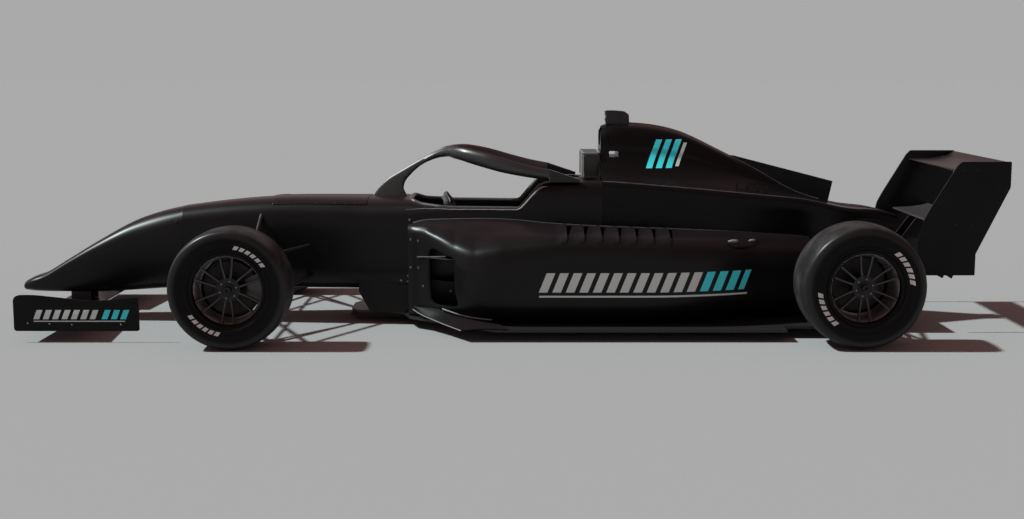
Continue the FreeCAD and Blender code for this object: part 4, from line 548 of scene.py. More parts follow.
def bars(x, z, lean, strips):
    """Slanted strips on the car's side: each from x to x and z to z, sheared
    backwards by the lean as it rises, and where a strip has a beat, cut into
    bars by its pitch and share. Returns their mask."""
    mask = 0.0
    for front, back, low, high, *beat in strips:
        slid = x - (z - low) * lean
        piece = slid.between(front, back) * z.between(low, high)
        if beat:
            piece = piece * ((slid - front) / beat[0]).part().under(beat[1])
        mask = piece + mask
    return mask


def lacquer(name, pale=(), teal=(), reach=0.0, lean=0.35, top_sheen=1.0, gloss=0.14, rough=0.24):
    """Black satin lacquer over carbon, darkest on the sides, with fine orange peel; upward faces carry a
    painted warm reflection of the sky, clouded; strips of pale and teal film where given."""
    finish = Finish(name, Coat_Roughness=0.25, Specular_IOR_Level=gloss)
    at = finish.spot()
    x, y, z = finish.axes(at)
    # Painted sky reflection: upward faces turn warm and paler, clouded, by the given share
    sheen_mask = finish.facing()[2].soft(0.8, 0.99) * top_sheen
    cloud = finish.noise(at, 5.0, 4.0)
    colour = finish.mix(sheen_mask * (0.55 + cloud * 0.6), BLACK, SKY_SHEEN)
    grain = finish.noise(at, 420.0, 1.0)
    if pale or teal:
        side = y.size().over(reach)
        for strips, film in ((pale, PALE), (teal, TEAL)):
            if strips:
                mask = bars(x, z, lean, strips) * side
                colour = finish.mix(mask, colour, film)
    return finish.feed(
        Base_Color=colour,
        Roughness=rough + cloud * 0.07,
        Coat_Weight=cloud * 0.06,
        Normal=finish.relief(grain + cloud * 2.0, 0.00006),
    )


def even(outline, count):
    """A closed outline measured off in equal steps along its length."""
    loop = np.concatenate([outline, outline[:1]])
    legs = np.linalg.norm(np.diff(loop, axis=0), axis=1)
    at = np.concatenate([[0], np.cumsum(legs)])
    steps = np.linspace(0, at[-1], count, endpoint=False)
    return np.column_stack([np.interp(steps, at, column) for column in loop.T])


def landed(thing, points, ray):
    """Where rays from points meet a thing's skin, and its facings there."""
    bpy.context.view_layer.update()
    hits = [thing.ray_cast(Vector(point), Vector(ray)) for point in points]
    places = np.array([tuple(place) for found, place, facing, index in hits if found])
    facings = np.array([tuple(facing) for found, place, facing, index in hits if found])
    return places, facings


def dropped(thing, x, y, height=1.2):
    """What rays straight down from a height meet, at each x and y."""
    x, y = np.broadcast_arrays(x, y)
    return landed(thing, np.column_stack([x.ravel(), y.ravel(), np.full(x.size, height)]), (0, 0, -1))


def struck(thing, line, side):
    """What level rays from one side of the car meet, at each x and z."""
    return landed(thing, [(x, side * 0.9, z) for x, z in line], (0, -side, 0))


tub_finish = lacquer("tub_lacquer", gloss=0.23, rough=0.32)
# The seam finish is pale grey on the black body: painted highlight along the cockpit lip, the cover's
# shoulder beads and spine line, and the sidepod seams and vane.
seam_highlight_finish = mottled("seam_highlight_lacquer", 30.0, 4.0, tone(0.03), tone(0.11), 0.3, 0.12, Specular_IOR_Level=0.4)
# The edging finish is pale: painted highlight on strips that follow lit edges, namely the tub's shoulder,
# the headrest piping, the latch beads and the floor lip lines.
edge_highlight_finish = mottled("pale_edge_highlight", 60.0, 3.0, tone(0.16), tone(0.34), 0.4, 0.2, Specular_IOR_Level=0.4)
tub = form("tub_shell", skin(tub_grid()))
keel = form("tub_keel", prism(rounded(KEEL_LINE, KEEL_CORNERS), -KEEL_HALF, KEEL_HALF))
room = form("cockpit_room", prism(opening_outline(), 0.095, 0.9, "Z"))
legs = form("leg_room", prism(LEG_ROOM, -LEG_ROOM_HALF, LEG_ROOM_HALF))
rack_hole = form("rack_hole", tube([(RACK_X, -0.5, RACK_Z), (RACK_X, 0.5, RACK_Z)], RACK_BORE, 24))
carve(tub, "UNION", keel)
carve(tub, "DIFFERENCE", room, legs, rack_hole)
dress(tub, "chassis", tub_finish, "monocoque", slot="carbon_body")

# The cockpit lip is pale grey: a painted highlight along the rim.
lip_plan = even(opening_outline(0.004), 260)
lip_height = np.minimum(
    edge_height(lip_plan[:, 0]),
    np.interp(lip_plan[:, 0], [-0.47, -0.43, -0.38], [0.622, 0.622, 0.7]),
)
lip_path = np.column_stack([lip_plan, lip_height - 0.001])
lip_tube = tube(lip_path, LIP_RADIUS, 16, closed=True)
show("cockpit_lip", [lip_tube], "chassis", seam_highlight_finish, slot="carbon_body")
# A pale strip along the tub's top outer edge: a painted highlight.
edge_shells = []
for side in (-1, 1):
    along, across = np.meshgrid(np.linspace(*EDGING_ENDS, 110), np.linspace(0.2, 0.302, 52), indexing="ij")
    places, facings = dropped(tub, along, side * across)
    # The last place out on each line across that still faces upwards
    places = places[(facings[:, 2] > 0.6) & (places[:, 2] > 0.4)].round(5)
    places = places[np.lexsort((abs(places[:, 1]), places[:, 0]))]
    edge_path = places[np.append(np.diff(places[:, 0]) > 0, True)]
    for axis, near in ((1, 4), (2, 2)):
        padded = np.pad(edge_path[:, axis], near, mode="edge")
        edge_path[:, axis] = np.convolve(padded, np.full(2 * near + 1, 1 / (2 * near + 1)), mode="valid")
    edge_shells.append(tube(edge_path, np.interp(edge_path[:, 0], *EDGING_SWELL), 12))
show("tub_edging", edge_shells, "chassis", edge_highlight_finish, slot="foam")

# The hatch over the pedals: a thin moulded carbon panel that lies on top of
# the tub, held down by a row of countersunk screws along each side.
HATCH_FRONT = -1.149
HATCH_REAR = -0.662
HATCH_TURN = 13
HATCH_LIFT = 0.0028
BOLT_RADIUS = 0.0042


def slab(outer, inner):
    """A closed plate between two grids of the same size: each row runs out
    along the outer one and back along the inner one."""
    return skin(np.concatenate([outer, inner[:, ::-1]], 1))


def bolt_heads(places, facings, radius=BOLT_RADIUS, proud=0.0018):
    """Low button heads: at each place a dome of rings about its facing, with
    a small hollow in the middle."""
    places = np.asarray(places, float).reshape(-1, 3)
    facings = unit(np.broadcast_to(np.asarray(facings, float), places.shape))
    side = unit(np.cross(facings, (0.31, 0.74, 0.59)))
    other = np.cross(facings, side)
    rings = np.array([[1.0, -0.6], [1.0, 0.35], [0.84, 0.85], [0.55, 1.0], [0.42, 1.0], [0.36, 0.35]])
    turn = np.linspace(0, math.tau, 12, endpoint=False)
    shells = []
    for place, facing, first, second in zip(places, facings, side, other):
        circle = np.cos(turn)[:, None] * first + np.sin(turn)[:, None] * second
        grid = place + rings[:, :1, None] * radius * circle + rings[:, 1:, None] * proud * facing
        shells.append(skin(grid))
    return shells


def metal(name, colour, rough, speckle=900.0, spread=0.12, coat=0.0):
    """A worked metal: its colour mottled a little, its roughness clouded and
    a fine grain from the blasting or the tool."""
    finish = Finish(name, Metallic=1.0, Coat_Weight=coat)
    at = finish.spot()
    cloud = finish.noise(at, 14.0, 4.0)
    grain = finish.noise(at, speckle, 1.0)
    dark = tuple(part * 0.6 for part in colour[:3]) + (1,)
    return finish.feed(
        Base_Color=finish.mix(cloud, dark, colour),
        Roughness=rough - spread / 2 + cloud * spread,
        Normal=finish.relief(grain, 0.00005),
    )


steel_finish = metal("fixing_steel", (0.35, 0.35, 0.36, 1), 0.32)
black_finish = metal("fixing_black", (0.03, 0.03, 0.032, 1), 0.42)
tub_wide, tub_thin = tub_grid(300, HATCH_LIFT), tub_grid(300, -0.003)
hatch_rows = (tub_wide[:, 0, 0] > HATCH_FRONT) & (tub_wide[:, 0, 0] < HATCH_REAR)
hatch_turns = np.arange(-HATCH_TURN, HATCH_TURN + 1)
hatch_outer, hatch_inner = (grid[hatch_rows][:, hatch_turns] for grid in (tub_wide, tub_thin))
hatch = slab(hatch_outer, hatch_inner)
show("pedal_hatch", [hatch], "chassis", tub_finish, slot="carbon_body", bevel=(0.0012,))
hatch_edge = hatch_outer[3:-3:7]
hatch_screws = bolt_heads(np.concatenate([hatch_edge[:, 1], hatch_edge[:, -2]]), (0, 0, 1), 0.0035, 0.0008)
show("hatch_screws", hatch_screws, "chassis", steel_finish, slot="steel")

# The nose: a slender hollow crash cone of black lacquered carbon, pinned to
# the front of the tub, with a rounded tip just above the front wing.
NOSE_TIP = -2.4615
NOSE_LENGTH = 0.8535
NOSE_UNDER = 0.141
NOSE_RISE = 0.4388
NOSE_HALF = 0.158
NOSE_BLUNT = 0.022
# The pins' places round the nose's last section but two
PIN_PICK = [7, 16, 26, 38, 58, 70, 80, 89]
# Each nose station: along, half width, top, bottom, power of the section
NOSE_STATIONS = [
    (0.0, 0.27, 0.082, 0.02, 2.1), (0.012, 0.37, 0.105, 0.012, 2.2), (0.05, 0.5, 0.15, 0.004, 2.7),
    (0.142, 0.62, 0.216, 0.0, 3.9), (0.3, 0.7, 0.396, 0.0, 5.2), (0.5, 0.79, 0.629, 0.0, 4.4),
    (0.7, 0.88, 0.836, 0.014, 3.1), (0.85, 0.945, 0.934, 0.033, 3.1), (1.0, 1.0, 1.0, 0.055, 3.6),
]


def nose_grid(rows, grow=0.0):
    """Superellipse sections whose size closes at the tip as a quarter of an
    ellipse: the root of one less the square of the distance left."""
    along = np.linspace(0, 1, rows) ** 1.35
    half, top, under, power = flow(NOSE_STATIONS, along).T
    close = np.sqrt(np.clip(1 - np.clip(1 - along / NOSE_BLUNT, 0, 1) ** 2, 1e-4, 1))
    middle, reach = (top + under) / 2, (top - under) / 2 * close
    top, under = middle + reach, middle - reach
    return ovals(
        NOSE_TIP + along * NOSE_LENGTH,
        half * NOSE_HALF * close + grow,
        NOSE_UNDER + top * NOSE_RISE + grow,
        NOSE_UNDER + under * NOSE_RISE - grow,
        power,
        96,
    )


nose_finish = lacquer("nose_lacquer", gloss=0.23, rough=0.32)
show("nose_shell", [skin(nose_grid(150))], "chassis", nose_finish, "nose_cone", slot="carbon_body")
pin_ring = nose_grid(150, 0.0006)[-3]
pin_out = (pin_ring - pin_ring.mean(0)) * (0, 1, 1)
nose_pins = bolt_heads(pin_ring[PIN_PICK] - (0.012, 0, 0), pin_out[PIN_PICK], 0.0055, 0.0015)
show("nose_pins", nose_pins, "chassis", black_finish, slot="steel")

# The tyres: treadless rubber on thirteen inch rims, with a scrubbed, slightly
# dusty tread and pale moulded arcs round the sidewall.
TYRE_TURNS = 192
# Each wheel: the axle's x, half track and height, the tyre's radius and width
FRONT_WHEEL = (-1.236, 0.8, 0.28, 0.28, 0.25)
REAR_WHEEL = (1.664, 0.775, 0.29, 0.288, 0.30)
# Half a tyre section from the bead to the crown: across, in shares of the
# half width, and out, in shares of the way from the bead to the tread
TYRE_HALF = [
    (0.86, -0.07), (0.9, -0.04), (0.925, 0.02), (0.945, 0.06), (0.982, 0.095), (0.988, 0.16),
    (0.965, 0.205), (0.968, 0.25), (0.985, 0.34), (0.998, 0.45), (1.0, 0.55), (0.997, 0.66),
    (0.988, 0.76), (0.968, 0.85), (0.935, 0.915), (0.885, 0.955), (0.8, 0.978), (0.6, 0.99),
    (0.4, 0.996), (0.2, 0.999), (0.0, 1.0),
]
TYRE_WALL = 0.012
# How far the tread falls towards its shoulders, in shares of bead to tread
FRONT_CROWN = 0.05
REAR_CROWN = 0.07
BEAD = 0.172


def turned(profile, centre, turns):
    """A profile of distances across and radii, turned about a wheel's axle."""
    profile = np.asarray(profile, float)
    turn = np.linspace(0, math.tau, turns, endpoint=False)[None, :]
    across = np.broadcast_to(profile[:, :1], (len(profile), turns))
    grid = np.stack([profile[:, 1:] * np.cos(turn), across, profile[:, 1:] * np.sin(turn)], -1)
    return grid + np.asarray(centre, float)


def tyre_section(radius, width, crown):
    """The whole closed section: a smooth curve through the half section's
    points, sunk towards the shoulder by the crown, its mirror image, and the
    inside a wall's thickness in."""
    half = chain(TYRE_HALF, 64)
    wide = half[:, 0]
    high = np.clip((half[:, 1] - 0.5) / 0.5, 0, 1)
    half = half - np.column_stack([crown * 0.5 * wide**6 * high**2, crown * wide**2.4 * high])
    outer = np.column_stack([half[:, 0] * width / 2, BEAD + half[:, 1] * (radius - BEAD)])
    inner = outer * (0.93, 1) - (0, TYRE_WALL)
    inner[:, 1] = np.maximum(inner[:, 1], BEAD - 0.008)
    inner = inner[8:]
    left, right = outer * (-1, 1), outer[::-1][1:]
    inside = np.concatenate([inner, (inner * (-1, 1))[::-1][1:]])
    return np.concatenate([left, right, inside, left[:1]])


def rubber(name, wheel, crown, start, inner, outer):
    """Black rubber: u runs round the tyre on its own sheet, and the distance
    from the axle parts tread from sidewall. The tread is scrubbed paler, the
    sidewall is ringed, and two arcs of slanted bars stand on it."""
    finish = Finish(name, Specular_IOR_Level=0.12, Coat_Roughness=0.34)
    sheet = finish.sheet()
    u, v, _ = finish.axes(sheet)
    at = finish.spot((wheel[0], 0, wheel[2]))
    x, _, z = finish.axes(at)
    square = x * x + z * z
    cloud = finish.noise(at, 9.0, 5.0)
    grain = finish.noise(at, 260.0, 3.0)
    rings = (v * 900.0).wave()
    radius = wheel[3]
    edge = radius - (radius - BEAD) * (crown * 0.8 + 0.05)
    tread = square.soft((edge * 0.99) ** 2, (edge * 1.004) ** 2)
    scuff = tread * cloud.soft(0.35, 0.75)
    black = finish.mix(cloud, (0.0028, 0.0028, 0.0028, 1), (0.0062, 0.0058, 0.0058, 1))
    colour = finish.mix(scuff * 0.75 + tread * 0.25, black, (0.05, 0.046, 0.046, 1))
    turn = (u * 2.0 - start + square * 1.6).part()
    band = square.between(inner**2, outer**2)
    arcs = turn.under(0.27) * (turn / 0.045).part().under(0.7) * band
    colour = finish.mix(arcs, colour, (0.62, 0.62, 0.6, 1))
    shoulder = square.soft((edge * 0.86) ** 2, (edge * 0.94) ** 2) * (1 - tread * 0.8)
    wear = finish.noise(finish.stretched(sheet, (40, 600, 1)), 1.0, 4.0)
    height = grain + tread * wear * 1.5 + (1 - tread) * rings * 0.3
    return finish.feed(
        Base_Color=colour,
        Roughness=0.5 + tread * 0.16 + cloud * 0.08,
        Coat_Weight=shoulder * 0.5,
        Normal=finish.relief(height, 0.0002),
    )


front_rubber = rubber("front_tyre_rubber", FRONT_WHEEL, FRONT_CROWN, 0.25, 0.193, 0.2115)
rear_rubber = rubber("rear_tyre_rubber", REAR_WHEEL, REAR_CROWN, 0.1, 0.198, 0.221)
for end, wheel, crown, finish in (
    ("front", FRONT_WHEEL, FRONT_CROWN, front_rubber),
    ("rear", REAR_WHEEL, REAR_CROWN, rear_rubber),
):
    axle_x, axle_y, axle_z, radius, width = wheel
    section = tyre_section(radius, width, crown)
    for hand, side in HANDS:
        tyre = skin(turned(section, (axle_x, side * axle_y, axle_z), TYRE_TURNS), caps=False)
        show(
            f"{end}_{hand}_tyre_body", [tyre], f"{end}_wheel_{hand}", finish, f"{end}_tyre_{hand}",
            slot="tyre",
        )

# The wheels: dark cast magnesium rims, a deep barrel carried by twelve slim
# spokes that leave the hub in pairs, clamped by one six sided nut.
RIM_LIP = 0.1757
SPOKE_PAIRS = 6
SPOKE_SPREAD = math.radians(10.5)
SPOKE_ROOT_SPREAD = math.radians(13.5)
SPOKE_ROOT = 0.046
SPOKE_REACH = 0.106
HUB_FACE_IN = 0.033
# The nut's steps, in shares of its radius and its depth
NUT_STEPS = [(1.25, -0.6), (1.25, 0.12), (1.0, 0.12), (1.0, 0.8), (0.9, 1.0), (0.5, 1.0), (0.46, 0.3)]
NUT_RADIUS = 0.019
NUT_DEPTH = 0.02
STUDS = 6
STUD_CIRCLE = 0.039
STUD_START = 0.3
rim_finish = metal("rim_magnesium", (0.075, 0.072, 0.073, 1), 0.33, coat=0.15)
flange_finish = metal("rim_flange", (0.016, 0.0155, 0.016, 1), 0.36)
# The barrel's metal is a far paler copy of the rim's: painted light, standing for the sun on the barrel's
# inner wall.
lit_barrel_finish = metal("rim_barrel", (0.75, 0.7, 0.7, 1), 0.5)
hub_finish = metal("hub_alloy", (0.045, 0.044, 0.044, 1), 0.36)
# The disc is painted nearly black: painted shade for the inside of the wheel.
shaded_disc_finish = metal("disc_steel", (0.035, 0.033, 0.032, 1), 0.4, 300.0)


def circle_of(count, radius, level, start=0.0):
    """Points evenly round a wheel's axle at one distance across."""
    turn = np.arange(count) * math.tau / count + start
    return np.stack([radius * np.cos(turn), np.full(count, level), radius * np.sin(turn)], -1)


def nut_skin(centre, side):
    """A six sided nut with a bored chamfered end, and the collar under it."""
    rows = [circle_of(6, NUT_RADIUS * wide, side * NUT_DEPTH * far) for wide, far in NUT_STEPS]
    return skin(np.stack(rows) + centre)


def strut(path, widths, depth, facing, power, sides=16):
    """A bar along a path whose sections are superellipses: half a width
    across the facing and half the depth along it."""
    facing = np.broadcast_to(np.asarray(facing, float), path.shape)
    across = unit(np.cross(np.gradient(path, axis=0), facing))
    turn = np.linspace(0, math.tau, sides, endpoint=False)[None, :, None]
    wide = powered(np.cos(turn), 2 / power) * widths[:, None, None] / 2
    deep = powered(np.sin(turn), 2 / power) * depth / 2
    return skin(path[:, None] + wide * across[:, None] + deep * facing[:, None])


def ring(profile, centre, side, turns=120):
    """A closed profile of distances outboard and radii, turned about the axle."""
    profile = np.array(profile + profile[:1], float) * (side, 1)
    return skin(turned(profile, centre, turns), caps=False)


def spoke(centre, side, lip, angle, lean):
    """One spoke: from the hub out to the barrel, curving outboard as it goes
    and leaning away from its partner."""
    share = np.linspace(0, 1, 9)
    reach = SPOKE_ROOT + share * SPOKE_REACH
    turn = angle + lean * (SPOKE_ROOT_SPREAD + (SPOKE_SPREAD - SPOKE_ROOT_SPREAD) * share)
    across = lip - HUB_FACE_IN - 0.008 + 0.026 * share**1.6
    path = np.stack([reach * np.cos(turn), side * across, reach * np.sin(turn)], -1) + centre
    widths = 0.0145 - 0.0045 * np.sin(share * math.pi / 2) + 0.005 * share**6
    return strut(path, widths, 0.017, (0, 1, 0), 3.4)


for end, wheel, disc_at in (("front", FRONT_WHEEL, 0.0), ("rear", REAR_WHEEL, -0.031)):
    axle_x, axle_y, axle_z, _, width = wheel
    lip = width / 2 - 0.0067
    face = lip - HUB_FACE_IN
    flange = [
        (lip - 0.03, 0.1635), (lip - 0.0075, 0.166), (lip - 0.006, RIM_LIP), (lip, RIM_LIP),
        (lip, 0.171), (lip - 0.006, 0.1605), (lip - 0.026, 0.1585), (lip - 0.03, 0.1575),
    ]
    barrel = [
        (lip - 0.0295, 0.1635), (lip - 0.042, 0.153), (-lip + 0.042, 0.153), (-lip + 0.03, 0.1635),
        (-lip + 0.0075, 0.166), (-lip + 0.006, RIM_LIP), (-lip, RIM_LIP), (-lip, 0.171),
        (-lip + 0.006, 0.1605), (-lip + 0.026, 0.1585), (-lip + 0.04, 0.147), (lip - 0.046, 0.147),
        (lip - 0.0295, 0.1573),
    ]
    hub = [
        (face - 0.009, 0.0), (face - 0.009, 0.0303), (disc_at - 0.017, 0.0303), (disc_at - 0.017, 0.046),
        (face - 0.02, 0.046), (face - 0.012, 0.057), (face, 0.057), (face + 0.0016, 0.0555),
        (face + 0.0016, 0.0505), (face - 0.002, 0.0485), (face - 0.002, 0.03), (face + 0.001, 0.028),
        (face + 0.001, 0.0),
    ]
    disc = [
        (disc_at - 0.012, 0.0463), (disc_at - 0.012, 0.122), (disc_at - 0.0045, 0.122),
        (disc_at - 0.0045, 0.112), (disc_at + 0.0045, 0.112), (disc_at + 0.0045, 0.122),
        (disc_at + 0.012, 0.122), (disc_at + 0.012, 0.0463),
    ]
    for hand, side in HANDS:
        centre = np.array((axle_x, side * axle_y, axle_z))
        arms = [
            spoke(centre, side, lip, (pair + 0.5) * math.tau / SPOKE_PAIRS, lean)
            for pair in range(SPOKE_PAIRS)
            for lean in (-1, 1)
        ]
        nut = nut_skin(centre + (0, side * (face + 0.0015), 0), side)
        pegs = centre + circle_of(STUDS, STUD_CIRCLE, side * (face - 0.001), STUD_START)
        studs = bolt_heads(pegs, (0, side, 0), 0.004, 0.002)
        for piece, shells, finish, slot, sharp in (
            ("rim_spokes", arms, rim_finish, "rim", 50),
            ("rim_barrel", [ring(barrel, centre, side)], lit_barrel_finish, "rim", 50),
            ("rim_flange", [ring(flange, centre, side)], flange_finish, "rim", 50),
            ("rim_hub", [ring(hub, centre, side, 72)], hub_finish, "rim", 30),
            ("brake_disc", [ring(disc, centre, side, 96)], shaded_disc_finish, "steel", 30),
            ("wheel_nut", [nut], hub_finish, "steel", 30),
            ("hub_studs", studs, steel_finish, "steel", 30),
        ):
            stands_for = [f"{end}_rim_{hand}"] if piece == "rim_spokes" else []
            show(
                f"{end}_{hand}_{piece}", shells, f"{end}_wheel_{hand}", finish, *stands_for,
                slot=slot, sharp=sharp,
            )

# The uprights: machined alloy blocks that carry the axles, each with a thin
# carbon shield behind the brake disc that feeds it air.
upright_finish = metal("upright_alloy", (0.1, 0.098, 0.096, 1), 0.38)


def coat(finish, *nodes):
    """Gives the own meshes of nodes a better finish."""
    for node in nodes:
        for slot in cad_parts[node].material_slots:
            slot.material = finish.material


def twill(
    name, first, second, cell=0.0035, rough=0.3,
    dark=(0.0035, 0.0035, 0.0037, 1), light=(0.012, 0.012, 0.0125, 1),
):
    """Two by two carbon twill in the plane of two axes: a cell shows the warp
    where its column less its row, counted round by four, is under two."""
    finish = Finish(name, Specular_IOR_Level=0.3, Coat_Roughness=0.25)
    at = finish.spot()
    parts = finish.axes(at)
    across, along = parts[first] / cell, parts[second] / cell
    warp = (across.whole() - along.whole()).cycle(4.0).under(2.0)
    thread = (across * math.pi).wave().size() * warp + (along * math.pi).wave().size() * (1 - warp)
    cloud = finish.noise(at, 7.0, 4.0)
    return finish.feed(
        Base_Color=finish.mix(warp * 0.6 + cloud * 0.4, dark, light),
        Roughness=rough + warp * 0.07 + cloud * 0.08,
        Coat_Weight=0.2 + cloud * 0.1,
        Normal=finish.relief(thread, 0.00012, 0.5),
    )


# The shield's twill is darker than the other carbon: painted shade for the inside of the wheel.
shaded_shield_finish = twill("shield_twill", 0, 2, 0.003, 0.5, (0.002, 0.002, 0.0021, 1), (0.005, 0.005, 0.0052, 1))
for end, wheel, inboard, carrier in (
    ("front", FRONT_WHEEL, -0.03, "front_knuckle_{}"),
    ("rear", REAR_WHEEL, -0.06, "chassis"),
):
    plate = [
        (inboard, 0.06), (inboard, 0.138), (inboard + 0.03, 0.1415), (inboard + 0.03, 0.1395),
        (inboard + 0.002, 0.136), (inboard + 0.002, 0.06),
    ]
    for hand, side in HANDS:
        shield = ring(plate, (wheel[0], side * wheel[1], wheel[2]), side, 72)
        show(
            f"{end}_{hand}_disc_shield", [shield], carrier.format(hand), shaded_shield_finish,
            slot="carbon_raw", sharp=30,
        )
coat(upright_finish, "front_knuckle_left", "front_knuckle_right", "rear_uprights")

# The arms: aerofoil steel wishbones painted satin black, round pushrods, toe
# links and the steering rack's rods; the driveshafts are bare steel.
arm_finish = mottled(
    "arm_paint", 30.0, 4.0, tone(0.006), (0.016, 0.015, 0.015, 1), 0.34, 0.14,
    coat=0.3, grain=(500.0, 0.00004), Coat_Roughness=0.2, Specular_IOR_Level=0.3,
)
coat(arm_finish, "front_wishbones", "rear_wishbones", "front_pushrods", "rear_pushrods")
coat(arm_finish, "rear_toe_links", "track_rods")
coat(steel_finish, "driveshaft_left", "driveshaft_right")

# The steering wheel: a carbon plate with moulded rubber grips, a blank
# display, switches and paddles, on a quick release boss and a steel column.
WHEEL_CENTRE = np.array((-0.2545, 0.0, 0.5648))
WHEEL_LEAN = math.radians(25)
WHEEL_UP = np.array((-math.sin(WHEEL_LEAN), 0.0, math.cos(WHEEL_LEAN)))
WHEEL_OUT = np.array((math.cos(WHEEL_LEAN), 0.0, math.sin(WHEEL_LEAN)))
PLATE_LINE = [
    (-0.088, -0.058), (0.088, -0.058), (0.096, 0.052), (0.05, 0.078), (-0.05, 0.078), (-0.096, 0.052),
]
PLATE_CORNERS = [0.02, 0.02, 0.022, 0.02, 0.02, 0.022]
GRIP_LINE = [
    (0.088, 0.078, 0), (0.118, 0.05, 0.002), (0.121, 0.0, 0.003), (0.112, -0.05, 0.002), (0.08, -0.07, 0),
]
GRIP_ROWS = 28
DISPLAY_LINE = [(-0.042, 0.012), (0.042, 0.012), (0.042, 0.056), (-0.042, 0.056)]
PADDLE_LINE = [(0.03, 0.0), (0.085, 0.012), (0.088, 0.05), (0.034, 0.036)]
SWITCHES = [
    (-0.068, 0.03), (0.068, 0.03), (-0.066, -0.005), (0.066, -0.005),
    (-0.03, -0.022), (0.0, -0.034), (0.03, -0.022),
]


def on_wheel(points):
    """Points across, up and out of the steering wheel, in the car's frame."""
    points = np.asarray(points, float)
    side = np.array((0.0, 1.0, 0.0))
    return WHEEL_CENTRE + points[..., :1] * side + points[..., 1:2] * WHEEL_UP + points[..., 2:] * WHEEL_OUT


def wheel_block(outline, low, high):
    """A flat outline on the wheel, carried from one height to another."""
    flat = np.asarray(outline, float)
    grid = np.stack([np.column_stack([flat, np.full(len(flat), level)]) for level in (low, high)])
    return skin(on_wheel(grid))


grip_finish = Finish("grip_rubber", Specular_IOR_Level=0.3)
grip_grain = grip_finish.noise(grip_finish.spot(), 700.0, 2.0)
grip_finish.feed(
    Base_Color=grip_finish.mix(grip_grain, (0.05, 0.058, 0.055, 1), (0.11, 0.125, 0.12, 1)),
    Roughness=0.7 + grip_grain * 0.15,
    Normal=grip_finish.relief(grip_grain, 0.0003),
)
face_finish = twill("wheel_twill", 1, 2, 0.0025, 0.22)
glass_finish = mottled(
    "display_glass", 60.0, 3.0, (0.004, 0.006, 0.007, 1), (0.012, 0.016, 0.018, 1), 0.08, 0.1,
    Coat_Weight=1.0, Coat_Roughness=0.05, Specular_IOR_Level=0.6,
)
plate = wheel_block(rounded(PLATE_LINE, PLATE_CORNERS, 7), -0.008, 0.008)
show(
    "wheel_plate", [plate], "steering_wheel", face_finish, "steering_wheel",
    slot="carbon_raw", bevel=(0.0025, 3),
)
grip_turn = np.linspace(0, math.pi, GRIP_ROWS)
swell = 0.0125 + 0.0035 * np.sin(grip_turn) + 0.0012 * np.sin(9 * grip_turn)
swell[[0, -1]] *= 0.55
grips = [tube(on_wheel(chain(GRIP_LINE, GRIP_ROWS) * (side, 1, 1)), swell, 18) for side in (-1, 1)]
show("wheel_grips", grips, "steering_wheel", grip_finish, slot="grip", sharp=60)
display = wheel_block(rounded(DISPLAY_LINE, [0.005] * 4), 0.006, 0.0115)
show("wheel_display", [display], "steering_wheel", glass_finish, slot="grip", bevel=(0.001,))
switches = bolt_heads(on_wheel([(a, b, 0.008) for a, b in SWITCHES]), WHEEL_OUT, 0.0085, 0.011)
show("wheel_switches", switches, "steering_wheel", black_finish, slot="grip", sharp=30)
column_line = on_wheel([(0, 0, out) for out in (-0.25, -0.06, -0.058, -0.008)])
column = tube(column_line, [0.0118, 0.0118, 0.026, 0.03], 28)
paddle_line = rounded(PADDLE_LINE, [0.006] * 4)
paddles = [wheel_block(paddle_line * (side, 1), -0.019, -0.016) for side in (-1, 1)]
show("wheel_column", [column, *paddles], "steering_wheel", black_finish, slot="steel", sharp=30)
coat(face_finish, "steering_column_support")

# The seat: a thin moulded carbon shell, laid back on the floor of the tub and
# held by its own flanges.
coat(twill("seat_twill", 1, 2, 0.006, 0.36), "seat")

# The headrest: soft grey foam in a stitched cover, crowned, pinched along a
# sewn channel low down and piped round its top and up its front corners.
HEADREST_LOW = np.array((0.407, -0.148, 0.7215))
HEADREST_HIGH = np.array((0.5025, 0.148, 0.8655))
HEADREST_PUFF = 0.006
# The channel: its height and width in shares of the pad's height, its depth
CHANNEL = (0.2, 0.018, 0.003)
PIPING_IN = 0.004
PIPING_DROP = 0.0075
# Where the painted highlight up the pad's front edge ends, and the top of the pale trim along its bottom
HIGHLIGHT_BACK = 0.4185
TRIM_TOP = 0.7415
pad_finish = Finish("headrest_cover", Specular_IOR_Level=0.35, Sheen_Weight=0.2)
pad_at = pad_finish.spot()
pad_fold = pad_finish.noise(pad_at, 24.0, 4.0)
pad_grain = pad_finish.noise(pad_at, 900.0, 2.0)
pad_x, _, pad_z = pad_finish.axes(pad_at)
pad_body = pad_finish.mix(pad_fold, tone(0.05), (0.026, 0.026, 0.0265, 1))
# A paler band up the front edge is a painted highlight; the pale band along the bottom is trim.
pad_highlight_and_trim = (pad_x.under(HIGHLIGHT_BACK) + pad_z.under(TRIM_TOP)).over(0.5)
pad_finish.feed(
    Base_Color=pad_finish.mix(pad_highlight_and_trim, pad_body, (0.11, 0.11, 0.108, 1)),
    Roughness=0.6 + pad_fold * 0.15,
    Normal=pad_finish.relief(pad_fold * 6 + pad_grain, 0.0004),
)


